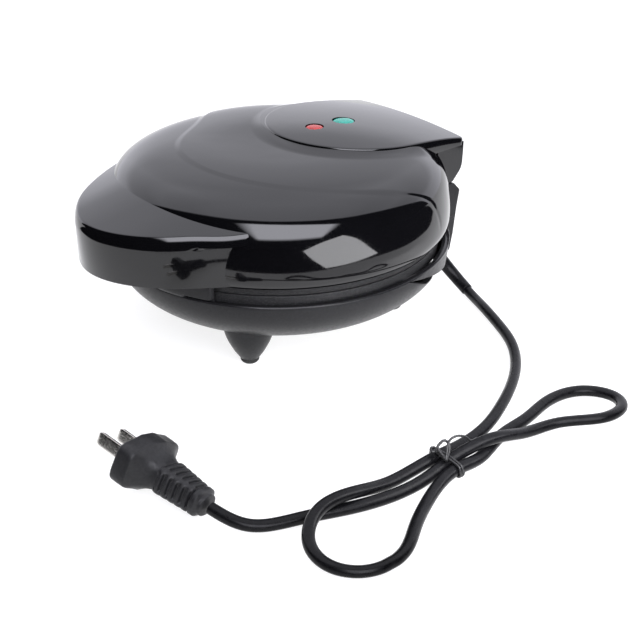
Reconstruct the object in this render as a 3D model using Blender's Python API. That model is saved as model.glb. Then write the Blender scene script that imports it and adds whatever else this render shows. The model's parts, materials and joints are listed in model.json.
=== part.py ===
"""Round countertop ring-cake maker: a lower bowl on four feet, a hinged domed lid with a
front handle, two plates with seven ring cavities, heating parts and a two-core cord.

Millimetres are used below and turned into metres when a mesh is written.
The working origin is on the floor under the axis of the round body, -Y is the handle side,
+Y the hinge side and +Z up. Y_SHIFT moves everything so that the object's box is centred.
"""

import math

import bmesh
import bpy
import numpy as np
from mathutils import Vector

# ---------------------------------------------------------------- driving dimensions (mm)
MM = 0.001
GAP = 0.3  # air between neighbouring parts
Y_SHIFT = 11.25

BOWL_R = 88.46  # lower shell near its rim
BOWL_TOP = 45.0
BOWL_CENTRE_Z = 45.9
BOWL_DEPTH = 38.1
BOWL_POWER = 2.26
WALL = 2.5

PLATE_R = 83.8
PARTING_Z = 48.8
PLATE_T = 2.3
CAVITY_OUT = 24.0
CAVITY_IN = 7.0
CAVITY_DEPTH = 9.5
CAVITY_PITCH = 53.5
BOSS_RING = 30.9  # radius of the circle of three screw bosses
BOSS_ANGLES = (60.0, 180.0, 300.0)

LID_BOTTOM = 53.5
LID_STATIONS = (  # radius, height of the outer surface, bottom edge to apex
    (87.5, 53.5),
    (88.3, 57.0),
    (88.9, 61.0),
    (89.3, 66.8),
    (89.0, 72.0),
    (88.1, 76.0),
    (86.4, 80.2),
    (83.2, 84.6),
    (77.5, 88.9),
    (70.0, 91.7),
    (60.0, 93.3),
    (45.0, 94.2),
    (0.0, 94.6),
)
TIER_CENTRE_Y = 26.5
TIER_R = 79.5
TIER_RISE = 1.0

HINGE_Y = 86.2
HINGE_Z = 65.7
KNUCKLE_R = 3.0
HINGE_PIN_R = 1.5
BLOCK_HALF = 42.5  # half width of the hinge blocks
NOTCH_Y = 72.3  # front face of the upper hinge block

HANDLE_BOTTOM = 54.5
HANDLE_HALF = (
    (0.0, -113.5),
    (12.0, -111.6),
    (23.0, -106.5),
    (34.0, -98.0),
    (42.0, -89.0),
    (49.0, -79.0),
    (54.0, -70.0),
    (57.5, -60.0),
    (50.0, -52.0),
)
COVER_R = 46.0
COVER_CY = 47.5
COVER_REAR = 91.0

FOOT_X = 37.7
FOOT_Y = 47.9

RED_LAMP_Y = 23.2
GREEN_LAMP_Y = 42.7

CORD_D = 5.6
SLEEVE_LENGTH = 36.0
CORD_EXIT = (34.0, 78.0, 27.9)
CORD_EXIT_DIR = (0.115, 0.591, -0.799)
CORD_ROUTE = (  # centre line from the shell to the plug
    (34.0, 78.0, 27.90),
    (39.2, 87.9, 12.83),
    (53.9, 89.7, 3.69),
    (71.4, 83.5, 3.27),
    (91.5, 75.5, 2.86),
    (109.9, 65.9, 2.93),
    (125.8, 52.5, 2.81),
    (138.9, 35.7, 2.87),
    (149.7, 16.8, 2.83),
    (158.0, -2.9, 2.83),
    (161.7, -23.1, 3.36),
    (162.3, -36.0, 4.05),
    (162.9, -65.1, 3.21),
    (163.8, -84.6, 7.81),
    (164.4, -103.0, 7.99),
    (174.4, -115.9, 4.45),
    (189.2, -117.2, 2.94),
    (199.8, -108.5, 2.81),
    (201.2, -91.0, 2.94),
    (192.2, -76.1, 3.20),
    (182.4, -60.1, 2.97),
    (174.5, -36.0, 4.05),
    (173.8, -22.6, 2.98),
    (167.4, -1.9, 3.10),
    (164.4, 18.1, 2.90),
    (160.0, 38.6, 2.88),
    (164.8, 58.6, 3.08),
    (176.8, 63.3, 4.52),
    (187.6, 57.5, 6.27),
    (190.0, 42.9, 7.04),
    (177.7, 25.7, 4.69),
    (173.9, 8.5, 4.64),
    (172.2, -12.0, 8.81),
    (168.4, -36.0, 4.05),
    (169.9, -47.1, 2.90),
    (170.9, -66.0, 2.96),
    (166.1, -87.4, 2.81),
    (159.1, -107.0, 2.84),
    (149.7, -127.8, 3.31),
    (133.2, -136.0, 6.60),
)
TIE_Y = -36.0

PLUG_END = (133.2, -136.0, 6.6)
PLUG_AXIS = (-0.956, -0.225, 0.182)  # from the cord towards the pins
PLUG_WIDE = (0.279, -0.887, 0.368)
PLUG_LENGTH = 40.5
PLATE_DEPTH = 8.6
PIN_LENGTH = 17.7
PIN_SPACING = 12.7

# ---------------------------------------------------------------- scene set-up
for old in list(bpy.data.objects):
    bpy.data.objects.remove(old, do_unlink=True)

scene = bpy.context.scene
PIVOT = Vector((0.0, (HINGE_Y + Y_SHIFT) * MM, HINGE_Z * MM))
lid_pivot = bpy.data.objects.new("lid_pivot", None)
lid_pivot.location = PIVOT
scene.collection.objects.link(lid_pivot)


def material(name, colour, roughness, metallic=0.0, alpha=1.0):
    made = bpy.data.materials.new(name)
    made.use_nodes = True
    shader = made.node_tree.nodes["Principled BSDF"]
    shader.inputs["Base Color"].default_value = (*colour, 1.0)
    shader.inputs["Roughness"].default_value = roughness
    shader.inputs["Metallic"].default_value = metallic
    shader.inputs["Alpha"].default_value = alpha
    return made


GLOSS = material("gloss_black_shell", (0.012, 0.012, 0.014), 0.08)
SATIN = material("satin_black_shell", (0.022, 0.022, 0.024), 0.42)
PLATE = material("coated_plate", (0.02, 0.02, 0.022), 0.5, 0.4)
RUBBER = material("rubber_foot", (0.008, 0.008, 0.008), 0.8)
CORD = material("cord_pvc", (0.012, 0.012, 0.013), 0.38)
PLUG = material("plug_pvc", (0.015, 0.015, 0.016), 0.5)
TIE = material("tie_plastic", (0.008, 0.008, 0.008), 0.35)
NICKEL = material("nickel_pin", (0.72, 0.70, 0.66), 0.22, 1.0)
STEEL = material("zinc_steel", (0.55, 0.55, 0.56), 0.35, 1.0)
SHEET = material("aluminised_sheet", (0.6, 0.6, 0.6), 0.4, 1.0)
ELEMENT = material("element_tube", (0.3, 0.29, 0.27), 0.45, 1.0)
RED = material("red_lens", (0.55, 0.02, 0.015), 0.15)
GREEN = material("green_lens", (0.0, 0.32, 0.22), 0.15)
BAKELITE = material("thermoset_block", (0.03, 0.028, 0.026), 0.5)
CERAMIC = material("ceramic_body", (0.75, 0.72, 0.66), 0.5)
LEAD = material("silicone_lead", (0.6, 0.6, 0.58), 0.55)
NEON = material("neon_bulb", (0.75, 0.45, 0.35), 0.1)


# ---------------------------------------------------------------- mesh builders (mm)
def turned(profile, sides, centre=(0.0, 0.0), ring=False, phase=0.0):
    """A solid of revolution about Z from (radius, height) stations."""
    bm = bmesh.new()
    cx, cy = centre
    rows = []
    for r, z in profile:
        if r < 1e-9:
            rows.append([bm.verts.new((cx, cy, z))])
            continue
        rows.append(
            [
                bm.verts.new(
                    (
                        cx + r * math.cos(2 * math.pi * (i + phase) / sides),
                        cy + r * math.sin(2 * math.pi * (i + phase) / sides),
                        z,
                    )
                )
                for i in range(sides)
            ]
        )
    pairs = list(zip(rows[:-1], rows[1:]))
    if ring:
        pairs.append((rows[-1], rows[0]))
    for a, b in pairs:
        for i in range(sides):
            j = (i + 1) % sides
            if len(a) == 1:
                bm.faces.new((a[0], b[j], b[i]))
            elif len(b) == 1:
                bm.faces.new((a[i], a[j], b[0]))
            else:
                bm.faces.new((a[i], a[j], b[j], b[i]))
    if not ring:
        for row in (rows[0], rows[-1]):
            if len(row) > 1:
                bm.faces.new(row)
    bmesh.ops.recalc_face_normals(bm, faces=bm.faces)
    return bm


def loft(sections):
    """A closed solid through rings of points with the same count, ends capped."""
    bm = bmesh.new()
    rows = [[bm.verts.new(p) for p in section] for section in sections]
    n = len(rows[0])
    for a, b in zip(rows[:-1], rows[1:]):
        for i in range(n):
            j = (i + 1) % n
            bm.faces.new((a[i], a[j], b[j], b[i]))
    bm.faces.new(rows[0])
    bm.faces.new(rows[-1])
    bmesh.ops.recalc_face_normals(bm, faces=bm.faces)
    return bm


def prism(outline, z0, z1):
    return loft([[(x, y, z0) for x, y in outline], [(x, y, z1) for x, y in outline]])


def prism_x(outline, x0, x1):
    """A (y, z) outline drawn out along X."""
    return loft([[(x0, y, z) for y, z in outline], [(x1, y, z) for y, z in outline]])


def box(x0, x1, y0, y1, z0, z1):
    return prism([(x0, y0), (x1, y0), (x1, y1), (x0, y1)], z0, z1)


def frames_along(points):
    """Unit tangents and two steady normals along a path."""
    pts = [Vector(p) for p in points]
    tangents = []
    for i in range(len(pts)):
        a = pts[max(i - 1, 0)]
        b = pts[min(i + 1, len(pts) - 1)]
        tangents.append((b - a).normalized())
    side = tangents[0].orthogonal().normalized()
    frames = []
    for t in tangents:
        side = (side - t * side.dot(t)).normalized()
        frames.append((t, side, t.cross(side)))
    return frames


def sweep(points, radii, sides):
    """A round bar along a path with a radius at each point."""
    rings = []
    for p, r, (_, u, v) in zip(points, radii, frames_along(points)):
        p = Vector(p)
        rings.append(
            [
                p
                + u * (r * math.cos(2 * math.pi * i / sides))
                + v * (r * math.sin(2 * math.pi * i / sides))
                for i in range(sides)
            ]
        )
    return loft(rings)


def bar(p0, p1, radius, sides=12):
    return sweep([p0, p1], [radius, radius], sides)


def bar_x(x0, x1, y, z, radius, sides=16):
    ring = [
        (
            y + radius * math.cos(2 * math.pi * i / sides),
            z + radius * math.sin(2 * math.pi * i / sides),
        )
        for i in range(sides)
    ]
    return prism_x(ring, x0, x1)


def under_surface(height, x0, x1, y0, y1, nx, ny, top):
    """The space between the surface z = height(x, y) and a flat top: it trims what is above."""
    bm = bmesh.new()
    low, high = [], []
    for j in range(ny + 1):
        y = y0 + (y1 - y0) * j / ny
        row_low, row_high = [], []
        for i in range(nx + 1):
            x = x0 + (x1 - x0) * i / nx
            row_low.append(bm.verts.new((x, y, height(x, y))))
            row_high.append(bm.verts.new((x, y, top)))
        low.append(row_low)
        high.append(row_high)
    for grid in (low, high):
        for j in range(ny):
            for i in range(nx):
                bm.faces.new(
                    (grid[j][i], grid[j][i + 1], grid[j + 1][i + 1], grid[j + 1][i])
                )
    edge = (
        [(0, i) for i in range(nx + 1)]
        + [(j, nx) for j in range(1, ny + 1)]
        + [(ny, i) for i in range(nx - 1, -1, -1)]
        + [(j, 0) for j in range(ny - 1, 0, -1)]
    )
    for a, b in zip(edge, edge[1:] + edge[:1]):
        bm.faces.new(
            (low[a[0]][a[1]], low[b[0]][b[1]], high[b[0]][b[1]], high[a[0]][a[1]])
        )
    bmesh.ops.recalc_face_normals(bm, faces=bm.faces)
    return bm


def joined(*parts):
    """Several separate shells in one mesh, for use as one cutter."""
    out = bmesh.new()
    for part in parts:
        table = {v: out.verts.new(v.co) for v in part.verts}
        for face in part.faces:
            out.faces.new([table[v] for v in face.verts])
        part.free()
    return out


def mesh_of(name, bm, origin):
    """The mesh in metres, with the given working point as its origin."""
    shift = Vector(origin)
    for v in bm.verts:
        v.co = (v.co - shift) * MM
    made = bpy.data.meshes.new(name)
    bm.to_mesh(made)
    bm.free()
    return made


def world(origin):
    return Vector((origin[0] * MM, (origin[1] + Y_SHIFT) * MM, origin[2] * MM))


def part(name, bm, finish, origin=(0.0, 0.0, 0.0), on_lid=False, angle=35.0):
    data = mesh_of(name, bm, origin)
    data.shade_smooth()
    data.set_sharp_from_angle(angle=math.radians(angle))
    data.materials.append(finish)
    obj = bpy.data.objects.new(name, data)
    scene.collection.objects.link(obj)
    if on_lid:
        obj.parent = lid_pivot
        obj.location = world(origin) - PIVOT
    else:
        obj.location = world(origin)
    return obj


def helper(name, bm):
    obj = bpy.data.objects.new(name, mesh_of(name, bm, (0.0, 0.0, 0.0)))
    obj.location = world((0.0, 0.0, 0.0))
    obj.hide_render = True
    obj.display_type = "WIRE"
    scene.collection.objects.link(obj)
    return obj


def combine(obj, other, operation):
    if not isinstance(other, bpy.types.Object):
        other = helper(f"cut_{obj.name}_{len(obj.modifiers)}", other)
    step = obj.modifiers.new(f"{operation.lower()}_{len(obj.modifiers)}", "BOOLEAN")
    step.operation = operation
    step.solver = "EXACT"
    step.object = other
    return obj


def cut(obj, other):
    return combine(obj, other, "DIFFERENCE")


def add(obj, other):
    return combine(obj, other, "UNION")


def keep(obj, other):
    return combine(obj, other, "INTERSECT")


# ---------------------------------------------------------------- shared shapes
def bowl_stations(radius, depth, count, top=BOWL_TOP):
    """A bowl of superellipse section, from the axis on its floor up to its rim."""
    t_top = (BOWL_CENTRE_Z - top) / depth
    end = math.acos(max(t_top, 0.0) ** (BOWL_POWER / 2))
    out = [(0.0, BOWL_CENTRE_Z - depth)]
    for k in range(1, count + 1):
        a = end * k / count
        t = math.cos(a) ** (2 / BOWL_POWER)
        out.append(
            (radius * math.sin(a) ** (2 / BOWL_POWER), BOWL_CENTRE_Z - depth * t)
        )
    return out


def skirt_bottom(y):
    """Height of the slanted underside of the rear skirt and hinge housing."""
    return 44.2 - 0.26 * (y - 15.3)


def offset_stations(stations, distance):
    """Stations moved along their outward normals by distance(radius)."""
    out = []
    for k, (r, z) in enumerate(stations):
        r0, z0 = stations[max(k - 1, 0)]
        r1, z1 = stations[min(k + 1, len(stations) - 1)]
        dr, dz = r1 - r0, z1 - z0
        if k == len(stations) - 1:
            dr, dz = -1.0, 0.0
        size = math.hypot(dr, dz)
        d = distance(r)
        out.append((r + dz / size * d, z - dr / size * d))
    out[-1] = (0.0, out[-1][1])
    return out


def tier_offset(r):
    """The tier stands proud on the top and fades into the side wall."""
    return TIER_RISE * max(-0.6, min(1.0, (84.6 - r) / 4.0))


def lid_solid(grow, bottom, sides):
    """The lid's full outer volume, tier apart."""
    stations = offset_stations(LID_STATIONS, lambda r: grow)
    stations = [(r, z) for r, z in stations if z > bottom + 0.2]
    low = LID_STATIONS[0][0] + grow
    return turned([(0.0, bottom), (low, bottom)] + stations, sides)


def tier_solid(grow, name, sides=60):
    """The raised round tier: the grown dome inside an upright cylinder."""
    stations = [
        (r, z)
        for r, z in offset_stations(LID_STATIONS, lambda r: tier_offset(r) + grow)
        if z > 79.0
    ]
    low = (stations[0][0] + 0.2, 78.4)
    dome = helper(name, turned([(0.0, low[1]), low] + stations, sides, phase=0.5))
    edge = turned(
        [(0.0, 70.0), (TIER_R + grow, 70.0), (TIER_R + grow, 110.0), (0.0, 110.0)],
        56,
        (0.0, TIER_CENTRE_Y),
        phase=0.37,
    )
    keep(dome, edge)
    return dome


def polar(radius, degrees):
    a = math.radians(degrees)
    return radius * math.cos(a), radius * math.sin(a)


def natural_spline(points):
    """The natural cubic through the points, numbered by the straight distance between them."""
    p = np.array(points, float)
    h = np.linalg.norm(np.diff(p, axis=0), axis=1)
    t = np.r_[0.0, np.cumsum(h)]
    n = len(p)
    a = np.eye(n)
    rhs = np.zeros_like(p)
    for i in range(1, n - 1):
        a[i, i - 1], a[i, i], a[i, i + 1] = h[i - 1], 2 * (h[i - 1] + h[i]), h[i]
        rhs[i] = 6 * ((p[i + 1] - p[i]) / h[i] - (p[i] - p[i - 1]) / h[i - 1])
    m = np.linalg.solve(a, rhs)

    def at(u):
        i = int(np.clip(np.searchsorted(t, u) - 1, 0, n - 2))
        w, v = (t[i + 1] - u) / h[i], (u - t[i]) / h[i]
        bend = ((w**3 - w) * m[i] + (v**3 - v) * m[i + 1]) * h[i] ** 2 / 6
        return w * p[i] + v * p[i + 1] + bend

    return at, t[-1]


def cord_line(step=0.3):
    at, last = natural_spline(CORD_ROUTE)
    fine = np.array([at(u) for u in np.arange(0.0, last, step)] + [at(last)])
    fine[:, 2] = np.maximum(fine[:, 2], CORD_D / 2)
    run = np.r_[0.0, np.cumsum(np.linalg.norm(np.diff(fine, axis=0), axis=1))]
    return fine, run


def point_at(fine, run, s):
    return tuple(float(np.interp(s, run, fine[:, k])) for k in range(3))


# ---------------------------------------------------------------- lower shell
base_shell = part(
    "base_shell",
    turned(bowl_stations(BOWL_R, BOWL_DEPTH, 9) + [(0.0, BOWL_TOP)], 56),
    SATIN,
)
add(
    base_shell,
    joined(
        *[
            turned(
                [
                    (0.0, 2.7),
                    (4.7, 2.7),
                    (5.3, 3.5),
                    (7.5, 6.9),
                    (10.0, 11.8),
                    (13.2, 19.0),
                    (0.0, 19.0),
                ],
                14,
                (sx * FOOT_X, sy * FOOT_Y),
            )
            for sx in (-1, 1)
            for sy in (-1, 1)
        ]
    ),
)
skirt = helper(
    "skirt_form",
    turned([(0.0, 20.0), (84.5, 20.0), (87.5, BOWL_TOP - 0.05), (0.0, BOWL_TOP - 0.05)], 56, (0.0, 3.5), phase=0.5),
)
keep(
    skirt,
    prism_x(
        [(13.5, BOWL_TOP + 2), (13.5, skirt_bottom(13.5)), (83.9, skirt_bottom(83.9)), (83.9, BOWL_TOP + 2)],
        -95.0,
        95.0,
    ),
)
add(base_shell, skirt)
housing = helper(
    "housing_form",
    prism_x(
        [
            (60.0, skirt_bottom(60.0) - 0.3),
            (84.6, skirt_bottom(84.6) - 0.3),
            (86.8, 35.9),
            (88.6, 51.5),
            (90.2, 60.5),
            (85.3, 65.5),
            (78.5, 65.5),
            (78.5, BOWL_TOP - 0.1),
            (60.0, BOWL_TOP - 0.1),
        ],
        -BLOCK_HALF,
        BLOCK_HALF,
    ),
)
sweep_room = helper(
    "lid_room",
    turned([(0.0, BOWL_TOP - 0.05), (89.8, BOWL_TOP - 0.05), (89.8, 70.0), (0.0, 70.0)], 64, phase=0.5),
)
keep(sweep_room, box(-95.0, 95.0, 0.0, 84.7, 30.0, 80.0))
cut(housing, sweep_room)
add(base_shell, housing)
add(
    base_shell,
    joined(
        bar_x(20.0, 28.7, HINGE_Y, HINGE_Z, KNUCKLE_R),
        bar_x(-28.7, -20.0, HINGE_Y, HINGE_Z, KNUCKLE_R),
    ),
)
inner_bowl = bowl_stations(BOWL_R - WALL, BOWL_DEPTH - WALL, 6)
cut(base_shell, turned(inner_bowl + [(BOWL_R - WALL, 46.5), (0.0, 46.5)], 40, phase=0.5))
add(
    base_shell,
    joined(
        *[
            turned([(0.0, 10.4), (5.2, 10.4), (5.2, 31.5), (0.0, 31.5)], 12, polar(BOSS_RING, a))
            for a in BOSS_ANGLES
        ]
    ),
)
cut(
    base_shell,
    joined(
        *[
            turned([(0.0, 5.0), (3.6, 5.0), (3.6, 13.0), (1.8, 13.0), (1.8, 33.0), (0.0, 33.0)], 10, polar(BOSS_RING, a), phase=0.31)
            for a in BOSS_ANGLES
        ],
        *[
            turned([(0.0, 2.0), (2.3, 2.0), (2.3, 5.8), (0.0, 5.8)], 10, (sx * FOOT_X, sy * FOOT_Y), phase=0.31)
            for sx in (-1, 1)
            for sy in (-1, 1)
        ],
    ),
)
exit_point = Vector(CORD_EXIT)
exit_dir = Vector(CORD_EXIT_DIR).normalized()
cut(base_shell, bar(exit_point - exit_dir * 17, exit_point + exit_dir * 9, 4.5, 14))
cut(
    base_shell,
    joined(
        bar_x(28.85, 38.4, HINGE_Y, HINGE_Z, KNUCKLE_R + 0.35),
        bar_x(-38.4, -28.85, HINGE_Y, HINGE_Z, KNUCKLE_R + 0.35),
    ),
)
cut(
    base_shell,
    joined(
        bar_x(19.0, 28.95, HINGE_Y, HINGE_Z, HINGE_PIN_R + GAP, 12),
        bar_x(-28.95, -19.0, HINGE_Y, HINGE_Z, HINGE_PIN_R + GAP, 12),
    ),
)

for index, (sx, sy) in enumerate(((-1, -1), (1, -1), (-1, 1), (1, 1))):
    name = ("front_left", "front_right", "rear_left", "rear_right")[index]
    at = (sx * FOOT_X, sy * FOOT_Y)
    part(
        f"rubber_foot_{name}",
        turned([(0.0, 0.0), (3.0, 0.0), (4.3, 0.7), (4.8, 1.7), (4.8, 2.35), (2.0, 2.35), (2.0, 5.3), (0.0, 5.3)], 14, at),
        RUBBER,
        (*at, 0.0),
    )

lug = part(
    "lower_handle",
    turned([(84.1, 43.2), (85.0, 43.2), (85.0, 45.3), (92.0, 45.3), (92.0, 53.1), (84.1, 53.1)], 72, ring=True),
    SATIN,
)
keep(lug, box(-45.0, 45.0, -100.0, -60.0, 30.0, 60.0))


# ---------------------------------------------------------------- plates
def heating_plate(name, side, on_lid):
    """side is -1 for the lower plate, which hangs down from its face, and 1 for the upper."""
    face = PARTING_Z + side * GAP / 2
    rim = 6.7 if side < 0 else 5.6

    def z(depth):
        return face + side * depth

    plate = part(
        name,
        turned(
            [(0.0, z(0.0)), (PLATE_R - 0.6, z(0.0)), (PLATE_R, z(0.6)), (PLATE_R, z(rim)), (PLATE_R - 2.3, z(rim)), (PLATE_R - 2.3, z(PLATE_T)), (0.0, z(PLATE_T))],
            56,
        ),
        PLATE,
        (0.0, 0.0, face),
        on_lid,
    )
    pockets = [(0.0, 0.0)] + [polar(CAVITY_PITCH, 30.0 + 60.0 * k) for k in range(6)]
    boss_depth = 15.55 if side < 0 else 15.85
    add(
        plate,
        joined(
            *[
                turned([(0.0, z(1.2)), (26.3, z(1.2)), (26.3, z(8.6)), (22.0, z(12.0)), (0.0, z(12.0))], 12, c, phase=0.3)
                for c in pockets
            ],
            *[
                turned([(0.0, z(1.2)), (4.0, z(1.2)), (4.0, z(boss_depth)), (0.0, z(boss_depth))], 10, polar(BOSS_RING, a))
                for a in BOSS_ANGLES
            ],
        ),
    )
    mid = (CAVITY_OUT + CAVITY_IN) / 2
    half = (CAVITY_OUT - CAVITY_IN) / 2
    arc = [
        (mid + half * math.cos(math.radians(b)), z(CAVITY_DEPTH * math.sin(math.radians(b)) ** 0.85))
        for b in (10, 42, 74, 106, 138, 170)
    ]
    ring_section = [(CAVITY_OUT, z(-1.0))] + arc + [(CAVITY_IN, z(-1.0))]
    cut(
        plate,
        joined(
            *[turned(ring_section, 12, c, ring=True, phase=0.3) for c in pockets],
            *[
                turned([(0.0, z(7.0)), (1.8, z(7.0)), (1.8, z(boss_depth + 1.5)), (0.0, z(boss_depth + 1.5))], 8, polar(BOSS_RING, a), phase=0.31)
                for a in BOSS_ANGLES
            ],
        ),
    )
    return plate


heating_plate("lower_heating_plate", -1, False)
heating_plate("upper_heating_plate", 1, True)


def element(name, height, on_lid):
    ring = 53.5
    path = [(*polar(41.5, 98.0), height), (*polar(48.0, 98.4), height)]
    path += [(*polar(ring, 102.0 + 336.0 * k / 28), height) for k in range(29)]
    path += [(*polar(48.0, 81.6), height), (*polar(41.5, 82.0), height)]
    return part(name, sweep(path, [1.5] * len(path), 6), ELEMENT, (0.0, 0.0, height), on_lid)


element("lower_element", 34.85, False)
element("upper_element", 62.75, True)


def heat_shield(name, radius, low, high, lip_z, on_lid):
    """A thin dish with a turned rim; low and high are its two faces."""
    away = lip_z - low
    profile = [(0.0, low), (radius, low), (radius, lip_z), (radius - 1.0, lip_z), (radius - 1.0, high), (0.0, high)]
    dish = part(name, turned(profile, 36), SHEET, (0.0, 0.0, low), on_lid)
    cut(
        dish,
        joined(
            *[
                turned([(0.0, low - 9), (2.2, low - 9), (2.2, high + 9), (0.0, high + 9)], 10, polar(BOSS_RING, a), phase=0.31)
                for a in BOSS_ANGLES
            ]
        ),
    )
    return dish, away


lower_shield, _ = heat_shield("lower_heat_shield", 72.5, 31.8, 32.8, 35.5, False)
cut(lower_shield, box(-14.0, 48.0, 36.0, 80.0, 25.0, 40.0))
upper_shield, _ = heat_shield("upper_heat_shield", 79.0, 66.1, 65.1, 60.0, True)
cut(upper_shield, box(-95.0, 95.0, 69.2, 95.0, 55.0, 75.0))
cut(upper_shield, box(-14.0, 14.0, 36.0, 60.0, 55.0, 75.0))


# ---------------------------------------------------------------- parts in the base
stat = part(
    "thermostat",
    turned([(0.0, 25.2), (6.0, 25.2), (6.0, 27.0), (8.5, 27.0), (8.5, 31.4), (0.0, 31.4)], 20, (-24.0, 18.0)),
    CERAMIC,
    (-24.0, 18.0, 31.4),
)
add(stat, joined(box(-27.0, -26.0, 15.0, 21.0, 18.5, 26.0), box(-22.0, -21.0, 15.0, 21.0, 18.5, 26.0)))
part(
    "thermal_fuse",
    sweep([(-13, -20, 28.6), (-7.5, -20, 28.6), (-7.2, -20, 28.6), (7.2, -20, 28.6), (7.5, -20, 28.6), (13, -20, 28.6)], [0.7, 0.7, 2.3, 2.3, 0.7, 0.7], 10),
    CERAMIC,
    (0.0, -20.0, 28.6),
)
block = part("terminal_block", box(6.0, 24.0, 38.0, 52.0, 18.0, 26.0), BAKELITE, (15.0, 45.0, 18.0))
cut(block, joined(*[box(7.6 + 6 * k, 10.4 + 6 * k, 40.0, 50.0, 22.5, 28.0) for k in range(3)]))

for index, a in enumerate(BOSS_ANGLES):
    at = polar(BOSS_RING, a)
    part(
        f"base_screw_{index + 1}",
        turned([(0.0, 10.0), (2.6, 10.0), (3.1, 10.7), (3.1, 12.7), (1.5, 12.7), (1.5, 40.6), (0.0, 40.6)], 12, at),
        STEEL,
        (*at, 10.0),
    )
    part(
        f"plate_screw_{index + 1}",
        turned([(0.0, 68.7), (2.6, 68.7), (3.1, 68.0), (3.1, 66.4), (1.5, 66.4), (1.5, 56.6), (0.0, 56.6)], 12, at),
        STEEL,
        (*at, 66.4),
        True,
    )

part(
    "supply_lead",
    sweep(
        [tuple(exit_point - exit_dir * 14.8), (31.2, 66.0, 40.6), (28.4, 61.0, 38.2), (25.2, 56.2, 32.6), (20.4, 50.6, 28.6), (16.5, 47.2, 27.9), (15.0, 45.2, 26.3)],
        [1.9, 1.9, 1.9, 1.9, 1.6, 1.4, 1.2],
        8,
    ),
    LEAD,
    (15.0, 45.2, 26.3),
)
part(
    "element_lead",
    sweep([(5.7, 44.5, 23.0), (1.0, 44.8, 23.6), (-3.4, 44.0, 26.0), (-5.6, 42.5, 29.4), (-5.9, 41.6, 33.0)], [1.2] * 5, 8),
    LEAD,
    (5.7, 44.5, 23.0),
)

# ---------------------------------------------------------------- lid
lid_shell = part("lid_shell", lid_solid(0.0, LID_BOTTOM, 60), GLOSS, (0.0, HINGE_Y, HINGE_Z), True)
add(lid_shell, tier_solid(0.0, "tier_form"))
cut(lid_shell, box(-42.8, 42.8, 72.0, 100.0, 65.7, 110.0))
cut(lid_shell, box(-32.0, 32.0, 82.8, 100.0, 40.0, 66.4))
lid_inside = helper(
    "lid_inside",
    turned(
        [(0.0, 45.0), (LID_STATIONS[0][0] - WALL, 45.0)] + offset_stations(LID_STATIONS[::2], lambda r: -WALL),
        44,
    ),
)
cut(lid_inside, box(-45.3, 45.3, 69.5, 100.0, 63.4, 110.0))
cut(lid_inside, box(-35.0, 35.0, 80.3, 100.0, 54.9, 64.0))
cut(lid_shell, lid_inside)
cut(
    lid_shell,
    joined(
        turned([(0.0, 85.0), (4.9, 85.0), (4.9, 105.0), (0.0, 105.0)], 20, (0.0, RED_LAMP_Y)),
        turned([(0.0, 85.0), (6.1, 85.0), (6.1, 105.0), (0.0, 105.0)], 20, (0.0, GREEN_LAMP_Y)),
        *[turned([(0.0, 85.0), (1.8, 85.0), (1.8, 105.0), (0.0, 105.0)], 10, (sx * 28.0, 50.0)) for sx in (-1, 1)],
        bar((0.0, 66.0, 74.0), (0.0, 73.0, 74.0), 3.2, 10),
        *[bar((sx * 24.0, -80.0, 68.0), (sx * 24.0, -95.0, 68.0), 1.8, 10) for sx in (-1, 1)],
    ),
)


def cover_outline():
    out = [(COVER_R * math.cos(a), COVER_CY + COVER_R * math.sin(a)) for a in (math.radians(-180 + 180 * k / 26) for k in range(27))]
    for k in range(5):  # rear corners, rounded
        a = math.radians(18 * k + 4)
        out.append((40.4 + 2.9 * math.cos(a), COVER_REAR - 2.9 + 2.9 * math.sin(a)))
    for k in range(5):
        a = math.radians(104 + 18 * k)
        out.append((-40.4 + 2.9 * math.cos(a), COVER_REAR - 2.9 + 2.9 * math.sin(a)))
    return out


def cover_top(x, y):
    return 98.8 - 0.0015 * (y - 23.0) ** 2 - 0.00108 * x * x


hinge_cover = part("hinge_cover", prism(cover_outline(), 86.0, 108.0), GLOSS, (0.0, HINGE_Y, HINGE_Z), True)
add(
    hinge_cover,
    prism_x(
        [(NOTCH_Y, 66.0), (85.2, 66.0), (90.1, 72.1), (91.0, 75.8), (90.3, 86.5), (90.3, 90.0), (NOTCH_Y, 90.0)],
        -BLOCK_HALF,
        BLOCK_HALF,
    ),
)
cut(hinge_cover, under_surface(cover_top, -60.0, 60.0, -10.0, 110.0, 10, 12, 125.0))
notch = box(-42.5, 42.5, NOTCH_Y, 110.0, 60.0, 120.0)
dome_room = helper("dome_room", lid_solid(GAP, 50.0, 60))
cut(dome_room, notch)
cut(hinge_cover, dome_room)
tier_room = tier_solid(GAP, "tier_room")
cut(tier_room, box(-42.5, 42.5, NOTCH_Y, 110.0, 60.0, 120.0))
cut(hinge_cover, tier_room)
add(
    hinge_cover,
    joined(
        bar_x(29.0, 38.2, HINGE_Y, HINGE_Z, KNUCKLE_R),
        bar_x(-38.2, -29.0, HINGE_Y, HINGE_Z, KNUCKLE_R),
    ),
)
cut(
    hinge_cover,
    joined(
        bar_x(19.7, 28.85, HINGE_Y, HINGE_Z, KNUCKLE_R + 0.35),
        bar_x(-28.85, -19.7, HINGE_Y, HINGE_Z, KNUCKLE_R + 0.35),
        box(-17.0, 17.0, 76.0, 86.5, 55.0, 84.0),
    ),
)
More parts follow.
